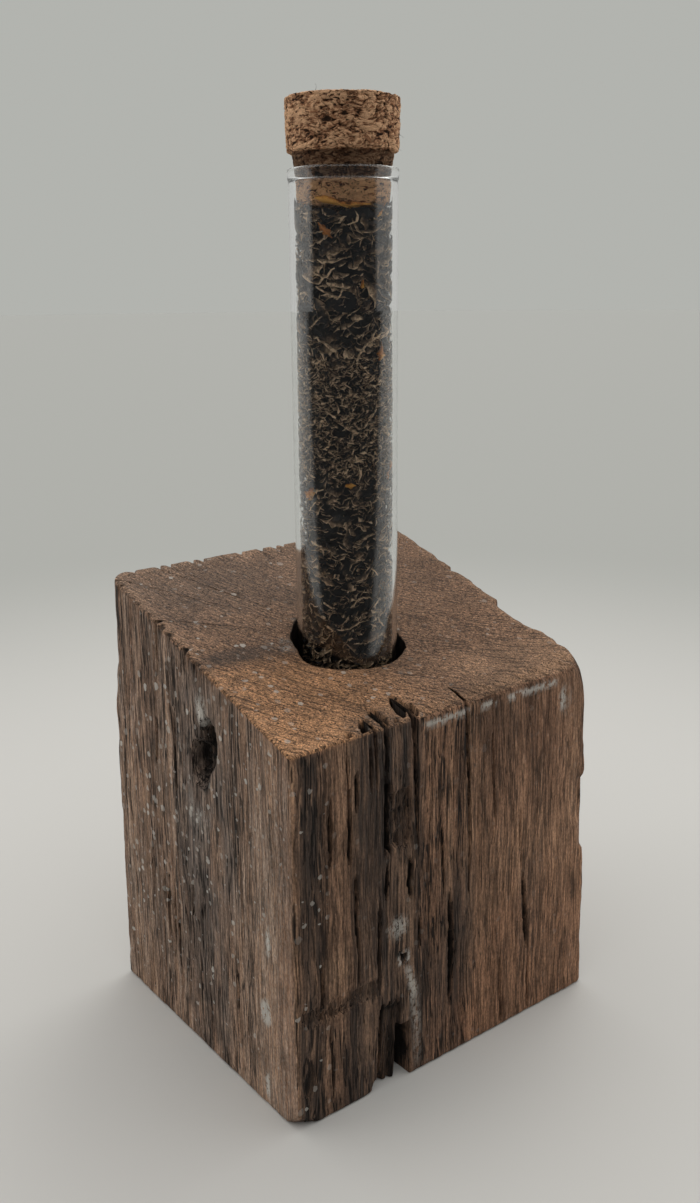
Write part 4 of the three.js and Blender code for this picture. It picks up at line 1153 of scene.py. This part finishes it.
def tea_bits(name, kinds, seed, top=TEA_TOP, tumbled=1.15, kink=0.024, smooth=False):
    """Curled bits of tea lying round the inside of the glass. Each row of kinds is one
    bit: height, bearing, tilt, length, width, thickness, depth in, bow, curl, twist, tone."""
    columns = np.array(kinds, float).T[:, :, None]
    height, bearing_at, tilt, length, width, thick, depth, bow, curl, twist, tone = columns
    bits = len(kinds)
    draws = np.random.default_rng(seed)
    s = np.linspace(-1, 1, BIT_STEPS)[None]
    phase = draws.uniform(0, math.tau, (bits, 1))
    taper = np.sqrt(np.clip(1 - 0.93 * s**2, 0.02, 1)) * (1 + 0.22 * np.sin(3.1 * s + phase))
    half = width / 2 * taper * draws.uniform(0.62, 1.38, (bits, BIT_STEPS))
    mid_u = length / 2 * s
    mid_v = bow * length * (s**2 - 0.4) + kink * length * draws.normal(0, 1, (bits, BIT_STEPS))
    mid_w = curl * width * np.sin(2.6 * s + phase)
    turn = np.radians(twist) * (s + 0.3) + tumbled * np.sin(phase)
    lie = np.radians(tilt)
    points = []
    for across, ridge in ((-1, 0), (1, 0), (0, 1)):
        off_v = half * across * np.cos(turn) - thick * ridge * np.sin(turn)
        off_w = half * across * np.sin(turn) * 0.9 + thick * ridge * np.cos(turn)
        round_way = mid_u * np.cos(lie) - (mid_v + off_v) * np.sin(lie)
        rise = mid_u * np.sin(lie) + (mid_v + off_v) * np.cos(lie)
        up = np.minimum(height + rise, top)
        radius = np.minimum(glass_reach(up) - depth + mid_w + off_w, glass_reach(up) - WALL_GAP)
        turn_at = np.radians(bearing_at) + round_way / ROUND_GLASS
        points.append(np.stack([
            SOCKET_CENTRE[0] + radius * np.cos(turn_at), SOCKET_CENTRE[1] + radius * np.sin(turn_at), up,
        ], axis=-1))
    first = np.arange(bits)[:, None, None] * BIT_STEPS * 3
    last = first + (BIT_STEPS - 1) * 3
    ends = np.concatenate([first + [2, 1, 0], last + [0, 1, 2]]).reshape(-1, 3)
    quads = (first + ring_quads(BIT_STEPS, 3)[None]).reshape(-1, 4)
    piece = object_from(name, np.stack(points, axis=2), quads, ends.tolist(), smooth)
    # Painted light and shade across each bit: one edge lighter, the other darker
    rim_light = np.array([0.44, -0.24, 0.0])[None, None] + 0.12 * np.sin(2.2 * s + phase)[..., None]
    paint(piece, "tone", tone[..., None] + rim_light * np.clip(tone * 3, 0.3, 1)[..., None])
    return piece


tea_draws = np.random.default_rng(19)


def scattered(count, low, high, lengths, widths, thick, depths, bow, curls, twist, tones):
    pick = tea_draws.uniform
    return [(
        pick(low, high), pick(0, 360), tea_draws.normal(8, 42), pick(*lengths), pick(*widths), thick,
        pick(*depths), pick(-bow, bow), pick(*curls), pick(-twist, twist), pick(*tones),
    ) for n in range(count)]


# Three layers, as they were poured: coarse leaf on top, then crumbs, then middling leaf.
# (sort, how many, from, to, lengths, widths, thickness, depths in, bow, curls, twist, tones)
COARSE_FOOT = TUBE_RIM - 43
CRUMB_FOOT = TUBE_RIM - 69
LOWEST = TUBE_FOOT + 0.6
loose = {"small": [], "crumb": [], "broad": [], "stalk": []}
for sort, *kind in (
    ("small", 900, COARSE_FOOT, TEA_TOP, (1.6, 4.4), (0.35, 0.9), 0.12, (0.25, 1.7), 0.2, (0.1, 0.6), 120,
     (0.05, 0.75)),
    ("crumb", 3600, CRUMB_FOOT, COARSE_FOOT + 2, (0.9, 3.0), (0.3, 0.8), 0.12, (0.06, 1.4), 0.35, (0.2, 0.8), 160,
     (0.18, 1.0)),
    ("small", 3300, LOWEST, CRUMB_FOOT + 2, (1.4, 3.8), (0.4, 1.0), 0.12, (0.05, 1.5), 0.3, (0.1, 0.6), 120,
     (0.0, 0.9)),
    ("broad", 420, COARSE_FOOT, TEA_TOP, (3.2, 8.0), (0.9, 2.2), 0.16, (0.4, 1.7), 0.16, (0.1, 0.5), 90, (0.10, 0.74)),
    ("broad", 620, LOWEST, CRUMB_FOOT, (2.8, 5.6), (0.9, 1.9), 0.16, (0.3, 1.6), 0.2, (0.1, 0.4), 90, (0.0, 0.75)),
    ("stalk", 130, COARSE_FOOT, TEA_TOP, (2.5, 6.5), (0.35, 0.7), 0.30, (0.15, 1.2), 0.15, (0.0, 0.5), 40, (0.5, 1.0)),
    ("stalk", 560, LOWEST, COARSE_FOOT, (1.4, 4.2), (0.25, 0.5), 0.26, (0.15, 1.2), 0.15, (0.0, 0.5), 40, (0.5, 1.0)),
):
    loose[sort] += scattered(*kind)

# Bits that stand out in the photograph: (below the rim, bearing, tilt, length, width, tone, bow, twist)
DARK_LEAVES = [
    (10.5, 252, 0, 9.1, 3.6, 0.12, 0.05, 10), (10.4, 214, 4, 4.0, 3.0, 0.03, 0.0, 10),
    (28.9, 229, 0, 6.4, 4.2, 0.02, 0.0, 15), (11.4, 166, -65, 5.6, 2.8, 0.38, 0.05, 30),
    (17.6, 226, 10, 6.9, 1.7, 0.62, 0.10, 60), (78.6, 225, -2, 5.0, 3.4, 0.40, 0.02, 12),
    (82.3, 235, -89, 5.8, 1.9, 0.40, 0.05, 20), (85.9, 217, -36, 4.2, 1.6, 0.55, 0.08, 40),
    (91.0, 257, 44, 8.9, 1.5, 0.48, 0.16, 50), (107.4, 265, 20, 5.0, 2.6, 0.52, 0.05, 25),
    (12.4, 274, 19, 11.4, 1.8, 0.52, 0.10, 70), (91.7, 200, 1, 4.4, 1.8, 0.66, 0.05, 90),
]
PALE_STALKS = [
    (11.0, 245, 72, 3.8, 0.9, 0.95, 0.35, 50), (23.2, 213, 45, 4.8, 0.7, 0.95, 0.0, 20),
    (25.2, 226, -8, 5.0, 1.4, 0.78, 0.02, 20), (32.4, 247, -1, 2.6, 2.3, 0.85, 0.0, 20),
    (31.3, 230, 48, 4.4, 1.2, 0.80, 0.12, 150), (38.2, 211, -33, 5.4, 1.0, 0.90, 0.0, 20),
    (40.2, 237, -6, 2.4, 2.1, 0.80, 0.0, 10), (38.4, 258, 55, 8.2, 0.8, 0.82, 0.0, 20),
    (8.1, 281, -50, 3.4, 1.0, 0.95, 0.20, 60), (9.6, 215, -28, 4.2, 1.1, 0.92, 0.40, 50),
    (84.5, 195, -19, 3.2, 0.8, 1.0, 0.0, 20), (86.1, 287, -11, 2.6, 0.5, 1.0, 0.0, 10),
    (87.9, 245, 1, 3.4, 0.45, 0.88, 0.05, 10), (99.4, 210, -26, 2.9, 0.65, 1.0, 0.05, 20),
    (101.3, 270, -15, 3.2, 0.65, 1.0, 0.05, 20), (104.1, 276, -53, 3.4, 0.6, 0.88, 0.05, 20),
    (102.1, 198, -15, 3.1, 0.8, 0.82, 0.10, 40), (104.9, 212, -29, 2.9, 0.65, 0.96, 0.05, 20),
    (104.6, 235, 21, 5.2, 0.5, 0.78, 0.12, 20), (111.2, 202, 19, 4.6, 0.85, 0.95, 0.12, 40),
    (19.9, 219, 7, 6.3, 0.8, 0.85, 0.08, 40),
]
for sort, seen_bits, thick, deep_in in (("broad", DARK_LEAVES, 0.18, 0.22), ("stalk", PALE_STALKS, 0.35, 0.14)):
    for below, at, tilt, length, width, tone, bow, twist in seen_bits:
        loose[sort].append((TUBE_RIM - below, at, tilt, length, width, thick, deep_in, bow, 0.05, twist, tone))

# Leaf that has ridden up between the plug and the glass, except under the yellow petal
PETAL_BEARING = 232
PETAL_HALF_SPAN = 38
pick = tea_draws.uniform
beside_plug = [(
    pick(204.8, 207.0), pick(0, 360), tea_draws.normal(0, 40), pick(1.5, 4.0), pick(0.6, 1.6), 0.08, 0.12,
    0.0, 0.0, 0, pick(0.0, 0.6),
) for n in range(70)]
beside_plug = [row for row in beside_plug if abs(row[1] - PETAL_BEARING) > PETAL_HALF_SPAN]

tea_small = tea_bits("tea_small_leaf", loose["small"], 23)
tea_crumbs = tea_bits("tea_crumb_leaf", loose["crumb"], 24)
tea_broad = tea_bits("tea_broad_leaf", loose["broad"], 29, tumbled=0.5)
tea_raised = tea_bits("tea_raised_leaf", beside_plug, 47, BESIDE_PLUG, 0.1)
tea_stalks = tea_bits("tea_stalks", loose["stalk"], 31)

# Veins of dried leaf and petal, which also stand up from its surface
vein_nodes, (vein_scale,), vein_gives = shared_effect(
    "dried_veins", {"Scale": "Float"}, {"Veins": "Float", "Normal": "Vector"})
fine = vein_nodes.grain(vein_scale, 3, 0.6)
raised = vein_nodes.read("ShaderNodeBump", "Normal", {"Height": fine, "Strength": 0.5, "Distance": 0.0002})
vein_nodes.feed(vein_gives["Veins"], fine)
vein_nodes.feed(vein_gives["Normal"], raised)


def dried(name, finish, scale):
    """A dried material with its veins raised, and the veins and tone to colour it by."""
    material, nodes, surface = material_for(name, finish)
    veins, normal = nodes.split("ShaderNodeGroup", ("Veins", "Normal"), {"Scale": scale}, node_tree=vein_nodes.tree)
    nodes.feed(surface.inputs["Normal"], normal)
    return material, nodes, surface.inputs["Base Color"], veins - 0.5, nodes.painted("tone")


dried_leaf, leaf, leaf_colour, veins, tone = dried("dried_leaf", {"Roughness": 0.5, "Specular IOR Level": 0.35}, 1300)
# The tone read here carries the painted light and shade across each bit
leaf_steps = ((0.20, 0.44, TEA_BROWN), (0.46, 0.78, TEA_OLIVE), (0.76, 1.02, TEA_TAN))
leaf.feed(leaf_colour, (tone + veins).graded(TEA_BLACK, *leaf_steps))
leaf_nodes = [f"tea_leaf_{n}" for n in range(1, 30)]
stalk_nodes = [f"tea_stalk_{n}" for n in range(1, 11)]
for piece, replaced, slot in (
    (tea_core, ["leaf_fill"], "tea"), (tea_small, ["tea_bud"], "leaf"), (tea_broad, leaf_nodes, "leaf"),
    (tea_stalks, stalk_nodes, "stalk"), (tea_raised, [], "leaf"), (tea_crumbs, [], "leaf"),
):
    piece.data.materials.append(dried_leaf)
    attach(piece, "tube")
    if replaced:
        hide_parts(*replaced)

# Petals. Ten dried petals, yellow, orange and rust, from the flowers mixed into the tea.
# They lie loose against the glass, the largest of them flat under the plug.

PETAL_RUST = (0.52, 0.19, 0.045, 1)
PETAL_ORANGE = (0.72, 0.25, 0.035, 1)
PETAL_YELLOW = (1.0, 0.50, 0.10, 1)
# (node, below the rim, bearing, tilt, length, width, how yellow)
PETALS = [
    ("yellow_petal_top", 7.7, PETAL_BEARING, -8, 12.0, 2.3, 0.60),
    ("yellow_petal_side", 9.2, 281, 50, 4.2, 1.4, 0.55), ("orange_petal_upper", 13.6, 211, -48, 4.6, 2.8, 0.14),
    ("orange_petal_mid", 25.0, 254, 80, 1.9, 1.6, 0.45), ("orange_petal_right", 39.8, 280, 80, 4.4, 2.8, 0.30),
    ("orange_petal_left", 72.6, 184, 60, 3.6, 2.6, 0.30), ("orange_petal_low", 67.6, 296, 75, 4.6, 2.6, 0.30),
    ("yellow_fleck", 70.2, 238, 0, 2.4, 1.8, 0.60), ("yellow_petal_back", 31.0, 62, 35, 8.0, 2.6, 0.60),
    ("orange_petal_back", 88.0, 110, -30, 6.0, 2.8, 0.20),
]
petal_rows = [
    (TUBE_RIM - below, at, tilt, length, width * 0.8, 0.12, 0.25, 0.05, 0.12, 60, yellow)
    for name, below, at, tilt, length, width, yellow in PETALS
]
tea_petals = tea_bits("tea_petals", petal_rows, 37, BESIDE_PLUG, tumbled=0.2, kink=0.010, smooth=True)
dried_petal, bloom, petal_colour, veins, yellowness_and_rim_light = dried("dried_petal", {"Roughness": 0.6}, 700)
petal_steps = ((0.10, 0.35, PETAL_ORANGE), (0.35, 0.62, PETAL_YELLOW))
bloom.feed(petal_colour, (yellowness_and_rim_light + veins).graded(PETAL_RUST, *petal_steps))
tea_petals.data.materials.append(dried_petal)
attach(tea_petals, "tube")
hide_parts(*[row[0] for row in PETALS])
